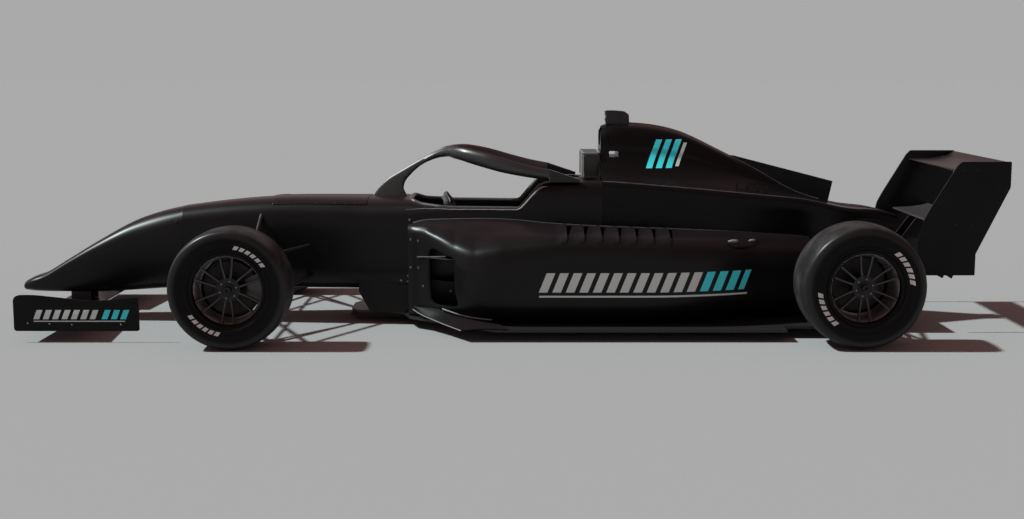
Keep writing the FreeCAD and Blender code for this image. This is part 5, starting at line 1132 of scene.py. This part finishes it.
def pillow(low, high, puff, rows=72, cols=108, edge=0.16):
    """A crowned cushion: a superellipsoid with tight edges, whose faces swell
    by the puff times the product of the cosines across them, and which is
    pinched along a sewn channel low down."""
    rise = np.linspace(-math.pi / 2, math.pi / 2, rows)[:, None]
    turn = np.linspace(-math.pi, math.pi, cols, endpoint=False)[None, :]
    ring_size = powered(np.cos(rise), edge)
    shape = np.stack(np.broadcast_arrays(
        ring_size * powered(np.cos(turn), edge),
        ring_size * powered(np.sin(turn), edge),
        powered(np.sin(rise), edge),
    ), -1)
    swell = np.cos(shape * math.pi / 2)
    gain = shape * np.roll(swell, 1, -1) * np.roll(swell, -1, -1)
    middle, half = (low + high) / 2, (high - low) / 2
    grid = middle + shape * (half - puff) + gain * puff
    level = (grid[..., 2] - low[2]) / (high[2] - low[2])
    height, width, depth = CHANNEL
    pinch = np.exp(-((level - height) / width) ** 2) * depth
    out = (grid - middle) * (1, 1, 0)
    size = np.linalg.norm(out, axis=-1, keepdims=True) + 1e-6
    return skin(grid - out / size * pinch[..., None])


pad = pillow(HEADREST_LOW, HEADREST_HIGH, HEADREST_PUFF)
headrest = show("headrest_pad", [pad], "chassis", pad_finish, "headrest", slot="foam", sharp=80)
# The piping is real, and its pale colour is a painted highlight on the lit edges.
near, far = HEADREST_LOW + PIPING_IN, HEADREST_HIGH - PIPING_IN
loop = rounded([near[:2], (far[0], near[1]), far[:2], (near[0], far[1])], [0.012] * 4)
top_line = np.column_stack([loop, np.full(len(loop), HEADREST_HIGH[2] - PIPING_DROP)])
piping = [tube(top_line, 0.0022, 10, closed=True)]
for side in (-1, 1):
    corner_at = (HEADREST_LOW[0] + 0.0045, side * 0.1435)
    corner_line = [(*corner_at, level) for level in np.linspace(0.735, 0.853, 24)]
    piping.append(tube(corner_line, 0.0026, 10))
show("headrest_piping", piping, "chassis", edge_highlight_finish, slot="foam", sharp=80)

# The halo: a bent titanium hoop round the cockpit, wrapped in a lacquered
# fairing, on a slim aerofoil pillar in front and two brackets behind.
HALO_RADIUS = 0.0248
HALO_ROWS = 140
PILLAR_ROWS = 44
BLEND_ROWS = 60
PILLAR_HALF_THICK = 0.0128
HALO_HALF = [
    (-0.255, 0.0, 0.862), (-0.237, 0.09, 0.8615), (-0.183, 0.165, 0.8595), (-0.085, 0.22, 0.8395),
    (0.05, 0.246, 0.801), (0.14, 0.25, 0.7775), (0.2425, 0.25, 0.757),
]
PILLAR_FRONT = [
    (-0.662, 0.606), (-0.652, 0.63), (-0.577, 0.716), (-0.508, 0.76), (-0.409, 0.819),
    (-0.336, 0.858), (-0.273, 0.8845), (-0.225, 0.8855),
]
PILLAR_REAR = [
    (-0.478, 0.606), (-0.482, 0.632), (-0.497, 0.668), (-0.488, 0.704), (-0.461, 0.738),
    (-0.409, 0.784), (-0.336, 0.819), (-0.225, 0.832),
]
BLEND_PATH = [
    (-0.43, 0.0, 0.7875), (-0.38, 0.004, 0.815), (-0.33, 0.014, 0.8385), (-0.28, 0.045, 0.8535),
    (-0.225, 0.108, 0.858), (-0.165, 0.176, 0.8535), (-0.085, 0.2185, 0.8365),
]
BLEND_SWELL = ([0, 0.25, 0.5, 0.75, 1], [0.008, 0.0165, 0.0255, 0.0285, 0.024])
halo_half = np.array(HALO_HALF)
halo_path = chain(np.concatenate([halo_half[:0:-1] * (1, -1, 1), halo_half]), HALO_ROWS)
halo_swell = 1.12 + 0.36 * np.sin(np.linspace(0, math.tau, HALO_ROWS)) ** 2
halo_path[:, 2] -= HALO_RADIUS * (halo_swell - 1)
halo_tube = tube(halo_path, HALO_RADIUS, 28, halo_swell)
# The pillar: aerofoil sections between its two edges, flared at both ends
pillar_front, pillar_rear = chain(PILLAR_FRONT, PILLAR_ROWS), chain(PILLAR_REAR, PILLAR_ROWS)
pillar_turn = np.linspace(0, math.tau, 40, endpoint=False)
pillar_share = (1 - np.cos(pillar_turn)) / 2
pillar_thick = PILLAR_HALF_THICK * np.sin(pillar_turn) * (1 - 0.25 * np.cos(pillar_turn))
pillar_flat = pillar_front[:, None] + (pillar_rear - pillar_front)[:, None] * pillar_share[None, :, None]
pillar_row = np.arange(PILLAR_ROWS)
pillar_flare = 1 + 0.7 * np.exp(-pillar_row / 3.0) + 0.95 * np.exp(-pillar_row[::-1] / 7.0)
pillar_grid = np.stack([pillar_flat[..., 0], pillar_thick * pillar_flare[:, None], pillar_flat[..., 1]], -1)
blend_wide = np.interp(np.linspace(0, 1, BLEND_ROWS), *BLEND_SWELL)
blends = [tube(chain(BLEND_PATH, BLEND_ROWS) * (1, side, 1), blend_wide, 28) for side in (-1, 1)]
halo_finish = lacquer("halo_lacquer", top_sheen=0.35, gloss=0.95, rough=0.37)
halo_shells = [halo_tube, skin(pillar_grid), *blends]
show("halo_hoop", halo_shells, "chassis", halo_finish, "halo", slot="carbon_body", sharp=50)
coat(metal("bracket_titanium", (0.05, 0.048, 0.048, 1), 0.36), "halo_feet")

# The engine cover: one thin black lacquered shell from the roll hoop to the
# gearbox, held by quarter turn pins, with a rolled bead along each shoulder
# and a thin fin on its spine.
BULKHEAD = 0.504
COVER_LENGTH = 1.521
COVER_BASE = 0.44
COVER_RISE = 0.563
COVER_AIRBOX = 0.118
COVER_HALF = 0.292
COVER_ROOM_IN = 0.012
HOOP_SEAT = [(0.45, 0.8675), (0.5404, 0.8675), (0.5404, 1.1), (0.45, 1.1)]
WINDOW_LINE = [(0.546, 0.835), (0.593, 0.835), (0.593, 0.8645), (0.546, 0.8645)]
# The airway's half width, middle height and half height
AIRWAY = (0.084, 0.938, 0.05)
PIN_XS = (1.178, 1.23, 1.283, 1.325)
PIN_Y = 0.212
PIN_STEPS = np.array([(0, 0, -0.006), (0, 0, 0.022), (0, 0, 0.023), (0, 0, 0.033), (0, 0, 0.0345)])
PIN_RADII = (0.0055, 0.0055, 0.0075, 0.0075, 0.004)
# Each station: along, airbox half width, crest, shoulder half width,
# shoulder, bottom
COVER_STATIONS = [
    (0.0, 0.97, 0.966, 0.976, 0.499, 0.0), (0.03, 0.985, 0.995, 0.98, 0.496, 0.0),
    (0.12, 1.0, 0.999, 0.993, 0.478, 0.0), (0.26, 0.86, 0.931, 1.0, 0.447, 0.0),
    (0.392, 0.66, 0.769, 0.983, 0.415, 0.0), (0.523, 0.42, 0.586, 0.945, 0.38, 0.0),
    (0.655, 0.27, 0.385, 0.873, 0.342, 0.0), (0.82, 0.2, 0.263, 0.6, 0.245, 0.02),
    (0.931, 0.15, 0.226, 0.38, 0.21, 0.05), (1.0, 0.12, 0.169, 0.27, 0.155, 0.071),
]


def sections(curve, count):
    """A smooth curve through points at every station at once; a point is its
    stop, then arrays of its distance across and height over the stations."""
    table = np.array([np.concatenate([[stop], y, z]) for stop, y, z in curve])
    return flow(table, np.linspace(0, curve[-1][0], count)).reshape(count, 2, -1)


def carried(x, loop):
    """Flat sections set up at their places along the car."""
    loop = loop.transpose(2, 0, 1)
    return np.concatenate([np.broadcast_to(x[:, None, None], loop.shape[:2] + (1,)), loop], -1)


def cover_grid(share):
    """Bell sections: from the sill up the side, round a tight shoulder, up a
    nearly straight flank and over the crest, by a curve through points set
    in shares of the rise from shoulder to crest; then the same mirrored."""
    airbox, crest, wide, shoulder, low = flow(COVER_STATIONS, share).T
    half, wide = airbox * COVER_AIRBOX, wide * COVER_HALF
    top, level, low = (COVER_BASE + part * COVER_RISE for part in (crest, shoulder, low))
    rise, out = top - level, wide - half
    right = sections([
        (0.0, wide, low), (0.08, wide, low + (level - low) * 0.5), (0.15, wide, level - 0.034),
        (0.175, wide - 0.004, level - 0.012), (0.195, wide - 0.016, level + 0.001),
        (0.235, half + 0.86 * out, level + 0.03 * rise), (0.29, half + 0.58 * out, level + 0.12 * rise),
        (0.35, half + 0.28 * out, level + 0.27 * rise), (0.42, half + 0.06 * out, level + 0.46 * rise),
        (0.5, half, top - 0.36 * rise), (0.6, 0.72 * half, top - 0.1 * rise), (0.7, 0.0 * half, top),
    ], 76)
    left = (right * np.array([[-1], [1]]))[-2::-1]
    return carried(BULKHEAD + share * COVER_LENGTH, np.concatenate([right, left]))


cover_coat = lacquer(
    "cover_lacquer", pale=[(0.878, 0.896, 0.79, 0.905)], teal=[(0.728, 0.872, 0.782, 0.922, 0.05, 0.62)],
    reach=0.02, lean=0.4, top_sheen=0.3,
)
cover = form("engine_cover_shell", skin(cover_grid(np.linspace(0, 1, 150))))
room_share, _, _, room_half, room_shoulder, _ = np.array(COVER_STATIONS).T
room_top = COVER_BASE + room_shoulder * COVER_RISE * 0.88 - COVER_ROOM_IN
room_past = np.where(room_share < 0.01, -0.06, np.where(room_share > 0.99, 0.06, 0))
room_at = BULKHEAD + room_share * COVER_LENGTH + room_past
room_grid = ovals(room_at, room_half * COVER_HALF - COVER_ROOM_IN, room_top, 0.8 - room_top, 4.0, 60)
air_half, air_level, air_rise = AIRWAY
air_turn = np.linspace(0, math.tau, 40, endpoint=False)
air_line = np.column_stack([air_half * np.cos(air_turn), air_level + air_rise * np.sin(air_turn)])
carve(
    cover, "DIFFERENCE",
    form("cover_room", skin(room_grid)),
    form("hoop_seat", prism(HOOP_SEAT, -0.2, 0.2)),
    form("airway", prism(air_line, 0.52, 0.734, "X")),
    form("window", prism(rounded(WINDOW_LINE, [0.006] * 4), -0.3, 0.3)),
)
dress(cover, "chassis", cover_coat, "engine_cover", slot="carbon_body")
coat(cover_coat, "shark_fin")
bead_share = np.linspace(0.002, 0.93, 120)
bead_half = flow(COVER_STATIONS, bead_share)[:, 2] * COVER_HALF - 0.017
bead_shells = []
for side in (-1, 1):
    bead_path, _ = dropped(cover, BULKHEAD + bead_share * COVER_LENGTH, side * bead_half)
    bead_wide = np.interp(bead_path[:, 0], [0.5, 1.2, 2.0], [0.0038, 0.003, 0.0018])
    spine, _ = dropped(cover, np.linspace(1.17, 1.63, 40), side * 0.0075)
    bead_shells += [tube(bead_path, bead_wide, 10), tube(spine, 0.0034, 10)]
# The beads and the spine line are pale: painted highlights along the shoulders and the spine.
show("cover_beads", bead_shells, "chassis", seam_highlight_finish, slot="carbon_body")
pin_feet = np.concatenate([dropped(cover, PIN_XS, side * PIN_Y)[0] for side in (-1, 1)])
pins = [tube(foot + PIN_STEPS, PIN_RADII, 14) for foot in pin_feet]
show("cover_pins", pins, "chassis", black_finish, slot="steel", sharp=30)

# The roll hoop: a steel structure behind a black gloss fairing that frames
# the engine's air inlet; a camera housing sits on top.
CAMERA_LINE = [
    (0.529, 1.06), (0.545, 1.0645), (0.582, 1.0645), (0.63, 1.06), (0.651, 1.044), (0.654, 0.995),
    (0.536, 0.995), (0.531, 1.02), (0.5375, 1.04),
]
CAMERA_CORNERS = [0.002, 0.006, 0.02, 0.012, 0.008, 0.004, 0.004, 0.01, 0.008]
CAMERA_HALF = 0.032
coat(lacquer("hoop_lacquer", top_sheen=0.2), "roll_hoop")
housing = prism(rounded(CAMERA_LINE, CAMERA_CORNERS, 5), -CAMERA_HALF, CAMERA_HALF)
show(
    "camera_housing", [housing], "chassis", twill("camera_twill", 0, 2, 0.004), "camera_pod",
    slot="carbon_raw", sharp=50, bevel=(0.005, 3),
)
lens_finish = mottled(
    "lens_glass", 90.0, 2.0, (0.004, 0.004, 0.006, 1), (0.012, 0.012, 0.016, 1), 0.08, 0.08,
    Coat_Weight=1.0, Coat_Roughness=0.05,
)
lens = bolt_heads([(0.5335, 0, 1.046)], [(-1, 0, 0.1)], 0.009, 0.003)
show("camera_lens", lens, "chassis", lens_finish, slot="steel", sharp=30)

# The sidepods: black lacquered shells round the radiators, undercut at the
# foot, with a swept inlet in front and a row of gills on the shoulder.
POD_SEAM = 0.25
POD_FOOT = 0.0605
POD_WALL = 0.01
# Each sidepod station: x, outer half width, inner top, shoulder top, foot
POD_STATIONS = [
    (-0.455, 0.333, 0.507, 0.5, 0.3), (-0.44, 0.347, 0.513, 0.504, 0.31),
    (-0.4, 0.377, 0.528, 0.507, 0.33), (-0.35, 0.424, 0.537, 0.506, 0.36),
    (-0.3, 0.474, 0.541, 0.499, 0.39), (-0.25, 0.522, 0.543, 0.489, 0.415),
    (-0.2, 0.564, 0.545, 0.476, 0.435), (-0.15, 0.595, 0.546, 0.466, 0.452),
    (-0.1, 0.612, 0.547, 0.462, 0.465), (-0.04, 0.619, 0.546, 0.4655, 0.475),
    (0.06, 0.62, 0.54, 0.474, 0.48), (0.24, 0.62, 0.52, 0.489, 0.48),
    (0.53, 0.62, 0.503, 0.487, 0.48), (0.83, 0.61, 0.492, 0.474, 0.455),
    (1.13, 0.533, 0.479, 0.457, 0.345), (1.37, 0.42, 0.4625, 0.436, 0.3),
    (1.531, 0.3565, 0.4525, 0.421, 0.29),
]
# How round the shoulder is along the car, as a share of its usual radius
POD_ROLL = (
    [-0.455, -0.36, -0.3, -0.22, -0.12, 0.0, 0.3],
    [0.5, 0.6, 0.9, 1.35, 1.45, 1.2, 1.0],
)
INLET_LINE = [(0.42, 0.14), (0.55, 0.14), (0.55, 0.375), (0.42, 0.43)]
TAIL_LINE = [(0.275, 0.1), (0.33, 0.1), (0.34, 0.4), (0.275, 0.42)]
GILL_COUNT = 7
GILL_PITCH = 0.0822
GILL_FRONT = 0.268
GILL_LIFT = 0.016
GILL_ROWS, GILL_COLS = 14, 22
VANE_LINE = [(-0.407, 0.388), (-0.262, 0.492), (-0.2, 0.5), (-0.2, 0.388)]
VANE_EDGE = [(-0.407, 0.386, 0.3635), (-0.33, 0.442, 0.372), (-0.262, 0.492, 0.38)]
STRAP_LINE = [(1.096, 0.446), (1.12, 0.433), (1.17, 0.425), (1.22, 0.432), (1.252, 0.446)]
# Each latch bead: its two ends along the car, height and half thickness
LATCH_BEADS = ((1.098, 1.152, 0.451, 0.0095), (1.206, 1.244, 0.448, 0.008))
BOLTS_ON_POD = [
    (-0.441, 0.445), (-0.4017, 0.4417), (-0.441, 0.3064), (-0.4017, 0.308), (-0.377, 0.2213),
    (-0.248, 0.1742),
]
BOLTS_ON_TUB = [(-0.4505, 0.533), (-0.46, 0.2515), (-0.463, 0.2213), (-0.4975, 0.2264)]


def pod_grid(x, wall=0.0):
    """The right pod's sections at each x. From the foot a cubic curve runs
    out in a hollow undercut to the widest point, up the side, round the
    shoulder and in over the top; straight lines close it along the tub."""
    wide, inner, crest, foot = (flow(POD_STATIONS, x) - wall).T
    seam = np.full(len(x), POD_SEAM + wall)
    base = np.full(len(x), POD_FOOT + wall)
    run, span = wide - foot, wide - seam
    roll = np.interp(x, *POD_ROLL)
    turn = roll * np.minimum(0.062, 0.3 * span)
    arc = sections([
        (0.0, foot, base), (0.068, foot + 0.45 * run, base + 0.02),
        (0.132, foot + 0.78 * run, base + 0.064), (0.206, foot + 0.95 * run, base + 0.135),
        (0.306, wide, base + 0.23), (0.4, wide - 0.06 * turn, crest - 0.085 * roll),
        (0.456, wide - 0.36 * turn, crest - 0.036 * roll), (0.506, wide - turn, crest - 0.007 * roll),
        (0.617, wide - turn - 0.33 * (span - turn), crest + 0.35 * (inner - crest) + 0.006),
        (0.747, seam + 0.28 * (span - turn), crest + 0.84 * (inner - crest) + 0.004),
        (0.827, seam, inner),
    ], 84)
    down = np.linspace(0, 1, 10)[1:, None]
    side = np.stack([seam + 0 * down, inner + (base - inner) * down], 1)
    sole = np.stack([seam + (foot - seam) * down, base + 0 * down], 1)[:-1]
    return carried(x, np.concatenate([arc, side, sole]))


def gill(pod, front, side):
    """A blade landed on the pod's shoulder, rising backwards, and the block
    that cuts the slot behind it."""
    back = front + GILL_PITCH * 0.62
    along, across = np.meshgrid(
        np.linspace(front, back, GILL_ROWS), np.linspace(0.338, 0.6, GILL_COLS), indexing="ij"
    )
    foot = dropped(pod, along, side * across, 0.8)[0].reshape(GILL_ROWS, GILL_COLS, 3)
    share = np.linspace(0, 1, GILL_ROWS)[:, None]
    width = np.linspace(-1, 1, GILL_COLS)[None, :]
    lift = GILL_LIFT * share**1.3 * (1 - width**6) + 0.0012
    raised = foot + lift[..., None] * (0, 0, 1)
    slot = np.array([
        (back - 0.008, 0.345), (back + 0.034, 0.34), (back + 0.012, 0.53), (back - 0.008, 0.53),
    ])
    cutter = form("gill_slot", prism(rounded(slot * (1, side), [0.005] * 4), 0.44, 0.6, "Z"))
    return slab(raised, raised - (0, 0, 0.003)), cutter


pod_coat = lacquer(
    "sidepod_lacquer", pale=[(0.185, 0.93, 0.225, 0.318, 0.064, 0.64), (0.185, 1.19, 0.2, 0.209)],
    teal=[(0.953, 1.175, 0.225, 0.318, 0.064, 0.64)],
    reach=0.45, lean=0.4, top_sheen=0.65, gloss=0.23, rough=0.33,
)
pod_x = POD_STATIONS[0][0] + (POD_STATIONS[-1][0] - POD_STATIONS[0][0]) * np.linspace(0, 1, 170) ** 1.35
room_x = np.linspace(-0.4, 1.46, 90)
inlet_line = rounded(INLET_LINE, [0.03] * 4)
tail_line = rounded(TAIL_LINE, [0.015] * 4)
pods = {}
for hand, side in HANDS:
    flip = np.array((1, side, 1))
    pod = pods[side] = form(f"sidepod_{hand}_shell", skin(pod_grid(pod_x) * flip))
    tools = [
        form("pod_room", skin(pod_grid(room_x, POD_WALL) * flip)),
        form("pod_inlet", prism(inlet_line * (side, 1), -0.6, -0.1, "X")),
        form("pod_outlet", prism(tail_line * (side, 1), 1.4, 1.6, "X")),
    ]
    gill_shells = []
    for index in range(GILL_COUNT):
        blade, cutter = gill(pod, GILL_FRONT + index * GILL_PITCH, side)
        gill_shells.append(blade)
        tools.append(cutter)
    carve(pod, "DIFFERENCE", *tools)
    dress(pod, "chassis", pod_coat, f"sidepod_{hand}", slot="carbon_body")
    show(f"sidepod_{hand}_gills", gill_shells, "chassis", pod_coat, slot="carbon_body")

    # The seam along the tub, the vane's edge and the vane are drawn pale: painted highlights.
    seam_x = np.linspace(-0.43, 1.5, 90)
    seam_y = side * np.interp(seam_x, [-0.43, -0.3, 1.0, 1.5], [0.282, 0.297, 0.297, 0.262])
    seam_path, _ = dropped(pod, seam_x, seam_y, 0.8)
    seam_wide = np.interp(seam_path[:, 0], [-0.45, -0.3, 0.4, 1.5], [0.0045, 0.0042, 0.003, 0.0022])
    vane = prism(np.array(VANE_LINE) * (1, side), 0.365, 0.368, "Z")
    trim = [tube(seam_path, seam_wide, 10), tube(np.array(VANE_EDGE) * flip, 0.0024, 10), vane]
    show(f"sidepod_{hand}_trim", trim, "chassis", seam_highlight_finish, slot="carbon_body")

    strap_at, _ = struck(pod, chain(STRAP_LINE, 30), side)
    strap = tube(strap_at + (0, side * 0.004, 0), 0.0065, 12)
    show(f"sidepod_{hand}_strap", [strap], "chassis", black_finish, slot="steel")
    # The latch beads are real, and their pale colour is a painted highlight.
    latch_shells = []
    for low, high, level, thick in LATCH_BEADS:
        bead_at, _ = struck(pod, [(x, level) for x in np.linspace(low, high, 18)], side)
        bead_round = np.sqrt(1 - np.linspace(-0.98, 0.98, 18) ** 2) * thick
        latch_shells.append(tube(bead_at, bead_round, 16))
    show(f"sidepod_{hand}_latch", latch_shells, "chassis", edge_highlight_finish, slot="steel")
    on_pod, on_tub = struck(pod, BOLTS_ON_POD, side), struck(tub, BOLTS_ON_TUB, side)
    places, facings = map(np.concatenate, zip(on_pod, on_tub))
    pod_bolts = bolt_heads(places, facings, 0.0062, 0.003)
    show(f"sidepod_{hand}_bolts", pod_bolts, "chassis", steel_finish, slot="steel", sharp=30)

# The radiators: stacked alloy cores behind each inlet, painted black and
# framed by their end tanks.
core_finish = Finish("radiator_core", Metallic=0.6)
core_z = core_finish.axes(core_finish.spot())[2]
core_fins = (core_z * 900.0).wave()
core_tubes = (core_z / 0.011).part().under(0.25)
core_finish.feed(
    Base_Color=core_finish.mix(core_tubes, (0.02, 0.02, 0.021, 1), (0.06, 0.06, 0.062, 1)),
    Roughness=0.5 + core_tubes * 0.15,
    Normal=core_finish.relief(core_fins + core_tubes * 2, 0.0008),
)
# Each core's part: bottom, top, front, back
CORE_PARTS = ((0.095, 0.395, 0.197, 0.249), (0.085, 0.1, 0.193, 0.253), (0.39, 0.405, 0.193, 0.253))
core_shells = []
for side in (-1, 1):
    for low, high, front, back in CORE_PARTS:
        outline = [(front, side * 0.31), (back, side * 0.31), (back, side * 0.47), (front, side * 0.47)]
        core_shells.append(prism(outline, low, high, "Z"))
show("radiator_cores", core_shells, "chassis", core_finish, "radiators", slot="steel")

# The floor: a flat carbon sandwich plate whose front edge turns up under each
# inlet, with a laminated wooden plank below and the diffuser behind.
LIP_FRONT = [(-0.431, 0.364, 0.103), (-0.405, 0.4, 0.0925), (-0.3, 0.525, 0.0695), (-0.182, 0.7, 0.0585)]
LIP_REAR = [
    (-0.428, 0.364, 0.113), (-0.36, 0.405, 0.117), (-0.274, 0.455, 0.12), (-0.184, 0.505, 0.099),
    (-0.09, 0.545, 0.083), (0.0, 0.6, 0.068), (0.04, 0.7, 0.062),
]
LIP_LINE = [(-0.28, 0.121), (-0.184, 0.1), (-0.11, 0.088), (-0.04, 0.08)]
DIFFUSER_ROOF = [(1.7, 0.0605), (1.78, 0.071), (1.88, 0.104), (1.97, 0.148), (2.05, 0.192)]
DIFFUSER_HALF = 0.459
STRAKES = 8
coat(twill("floor_twill", 0, 1, 0.005, 0.4, (0.01, 0.0104, 0.0098, 1), (0.022, 0.023, 0.0215, 1)), "floor")
lip_share = np.linspace(0, 1, 14)[None, :, None]
lip_front, lip_rear = chain(LIP_FRONT, 40), chain(LIP_REAR, 40)
lip_grid = lip_front[:, None] * (1 - lip_share) + lip_rear[:, None] * lip_share
lip_grid = lip_grid + np.array((0, 0, 0.006)) * np.sin(lip_share * math.pi)
floor_shells, line_shells = [], []
for side in (-1, 1):
    flip = np.array((1, side, 1))
    floor_shells.append(slab(lip_grid * flip, (lip_grid - (0, 0, 0.005)) * flip))
    line_at, _ = struck(pods[side], chain(LIP_LINE, 30), side)
    line_shells += [tube(line_at, 0.0042, 10), tube(lip_front * flip - (0, 0, 0.0025), 0.0022, 10)]
lip_finish = lacquer("lip_lacquer", gloss=0.07, rough=0.45)
show("floor_lips", floor_shells, "chassis", lip_finish, slot="carbon_raw", sharp=60)
# The lip lines are pale: painted highlights along the lip's front and its joint with the pod.
show("floor_lip_lines", line_shells, "chassis", edge_highlight_finish, slot="foam")

roof = chain(DIFFUSER_ROOF, 40)
roof_line = np.concatenate([roof, roof[::-1] - (0, 0.008)])
strake_line = np.concatenate([roof[2:] - (0, 0.004), [(2.05, 0.098), (1.72, 0.053)]])
strakes = [prism(strake_line, y - 0.003, y + 0.003) for y in np.linspace(-0.456, 0.456, STRAKES)]
diffuser_shells = [prism(roof_line, -DIFFUSER_HALF, DIFFUSER_HALF), *strakes]
diffuser_finish = twill("diffuser_twill", 0, 1, 0.005, 0.36)
show("diffuser_panel", diffuser_shells, "chassis", diffuser_finish, "diffuser", slot="carbon_raw")

plank_finish = Finish("plank_laminate", Specular_IOR_Level=0.2)
plank_grain = plank_finish.noise(plank_finish.stretched(plank_finish.spot(), (6.0, 90.0, 240.0)), 1.0, 5.0)
plank_finish.feed(
    Base_Color=plank_finish.mix(plank_grain, (0.012, 0.009, 0.007, 1), (0.035, 0.024, 0.016, 1)),
    Roughness=0.6 + plank_grain * 0.2,
    Normal=plank_finish.relief(plank_grain, 0.0004),
)
coat(plank_finish, "skid_plank")

# The gearbox and the crash box behind it, with the rain lamp in its end.
coat(metal("gearbox_casting", (0.07, 0.068, 0.066, 1), 0.5, 260.0), "gearbox", "engine_block")
coat(twill("crash_twill", 0, 2, 0.005), "crash_structure")
lamp_finish = Finish("lamp_lens", Coat_Weight=0.6, Coat_Roughness=0.1)
lamp_y, lamp_z = lamp_finish.axes(lamp_finish.spot())[1:]
lamp_cells = (lamp_y * 520.0).wave().size() * (lamp_z * 520.0).wave().size()
lamp_finish.feed(
    Base_Color=lamp_finish.mix(lamp_cells, (0.04, 0.002, 0.002, 1), (0.3, 0.012, 0.01, 1)),
    Roughness=0.15 + lamp_cells * 0.1,
    Normal=lamp_finish.relief(lamp_cells, 0.0015),
)
coat(lamp_finish, "rain_light")

# The front wing: a carbon main plane and a flap on each side between two flat
# endplates, hung from the nose on a pair of pylons.
ENDPLATE_TOP = [
    (-2.283, 0.175), (-2.2825, 0.202), (-2.276, 0.217), (-2.262, 0.2245), (-2.235, 0.227), (-2.2, 0.227),
    (-2.0706, 0.215), (-1.923, 0.2003), (-1.799, 0.2055), (-1.7, 0.2163),
]
ENDPLATE_FOOT = [(-1.693, 0.2165), (-1.693, 0.055), (-2.283, 0.055), (-2.283, 0.17)]
ENDPLATE_Y = 0.7
ENDPLATE_HALF_THICK = 0.0028
FRONT_DOTS = [(-2.217, 0.092), (-2.115, 0.089), (-2.01, 0.086), (-1.78, 0.086)]


def endplates(outline, y, half_thick):
    """The same upright plate on both sides of the car."""
    return [prism(outline, side * y - half_thick, side * y + half_thick) for side in (-1, 1)]


def plate_bolts(dots, y, radius):
    """Bolt heads on the outer faces of both endplates."""
    places = [(x, side * y, z) for side in (-1, 1) for x, z in dots]
    return bolt_heads(places, [(0, side, 0) for side in (-1, 1) for _ in dots], radius)


wing_finish = twill("wing_twill", 0, 1, 0.004, 0.34)
plate_finish = lacquer(
    "endplate_lacquer", pale=[(-2.19, -1.9, 0.112, 0.156, 0.044, 0.62), (-2.19, -1.76, 0.1, 0.1045)],
    teal=[(-1.87, -1.755, 0.112, 0.156, 0.044, 0.62)], reach=0.5, lean=0.4,
)
coat(wing_finish, "front_wing_main", "front_wing_flaps", "front_wing_pylons")
endplate_foot = rounded(ENDPLATE_FOOT, [0.006, 0.012, 0.014, 0], 5)
endplate_line = np.concatenate([chain(ENDPLATE_TOP, 60), endplate_foot[:-1]])
show(
    "front_endplate_pair", endplates(endplate_line, ENDPLATE_Y, ENDPLATE_HALF_THICK), "chassis",
    plate_finish, "front_wing_endplates", slot="wing_black", bevel=(0.0012, 2),
)
front_bolts = plate_bolts(FRONT_DOTS, ENDPLATE_Y + ENDPLATE_HALF_THICK, BOLT_RADIUS)
show("front_endplate_bolts", front_bolts, "chassis", steel_finish, slot="steel", sharp=30)

# The rear wing: a main plane and a flap high between two tall endplates, and
# a beam wing below them that the pylons carry from the crash box.
REAR_PLATE = [
    (2.03, 0.2825), (2.12, 0.2825), (2.148, 0.268), (2.155, 0.2825), (2.165, 0.2825), (2.192, 0.266),
    (2.2, 0.2825), (2.303, 0.2825), (2.303, 0.387), (2.4585, 0.7106), (2.4585, 0.8345),
    (2.22, 0.8345), (2.198, 0.812), (2.072, 0.6), (2.048, 0.5524), (2.024, 0.446),
]
REAR_CORNERS = [0.012, 0, 0.001, 0, 0, 0.001, 0, 0.004, 0.02, 0.03, 0.006, 0.02, 0.03, 0.06, 0.04, 0.03]
REAR_PLATE_Y = 0.45
REAR_HALF_THICK = 0.005
REAR_DOTS = [(2.44, 0.69), (2.3, 0.79), (2.23, 0.79), (2.2, 0.53), (2.28, 0.52)]
coat(wing_finish, "rear_wing_main", "rear_wing_flap", "rear_wing_pylons")
coat(twill("beam_twill", 0, 1, 0.004, 0.34, (0.03, 0.026, 0.027, 1), (0.07, 0.06, 0.063, 1)), "beam_wing")
rear_plates = endplates(rounded(REAR_PLATE, REAR_CORNERS, 6), REAR_PLATE_Y, REAR_HALF_THICK)
show(
    "rear_endplate_pair", rear_plates, "chassis", lacquer("rear_endplate_lacquer"), "rear_wing_endplates",
    slot="wing_black", bevel=(0.002, 2),
)
rear_bolts = plate_bolts(REAR_DOTS, REAR_PLATE_Y + REAR_HALF_THICK, 0.005)
show("rear_endplate_bolts", rear_bolts, "chassis", black_finish, slot="steel", sharp=30)
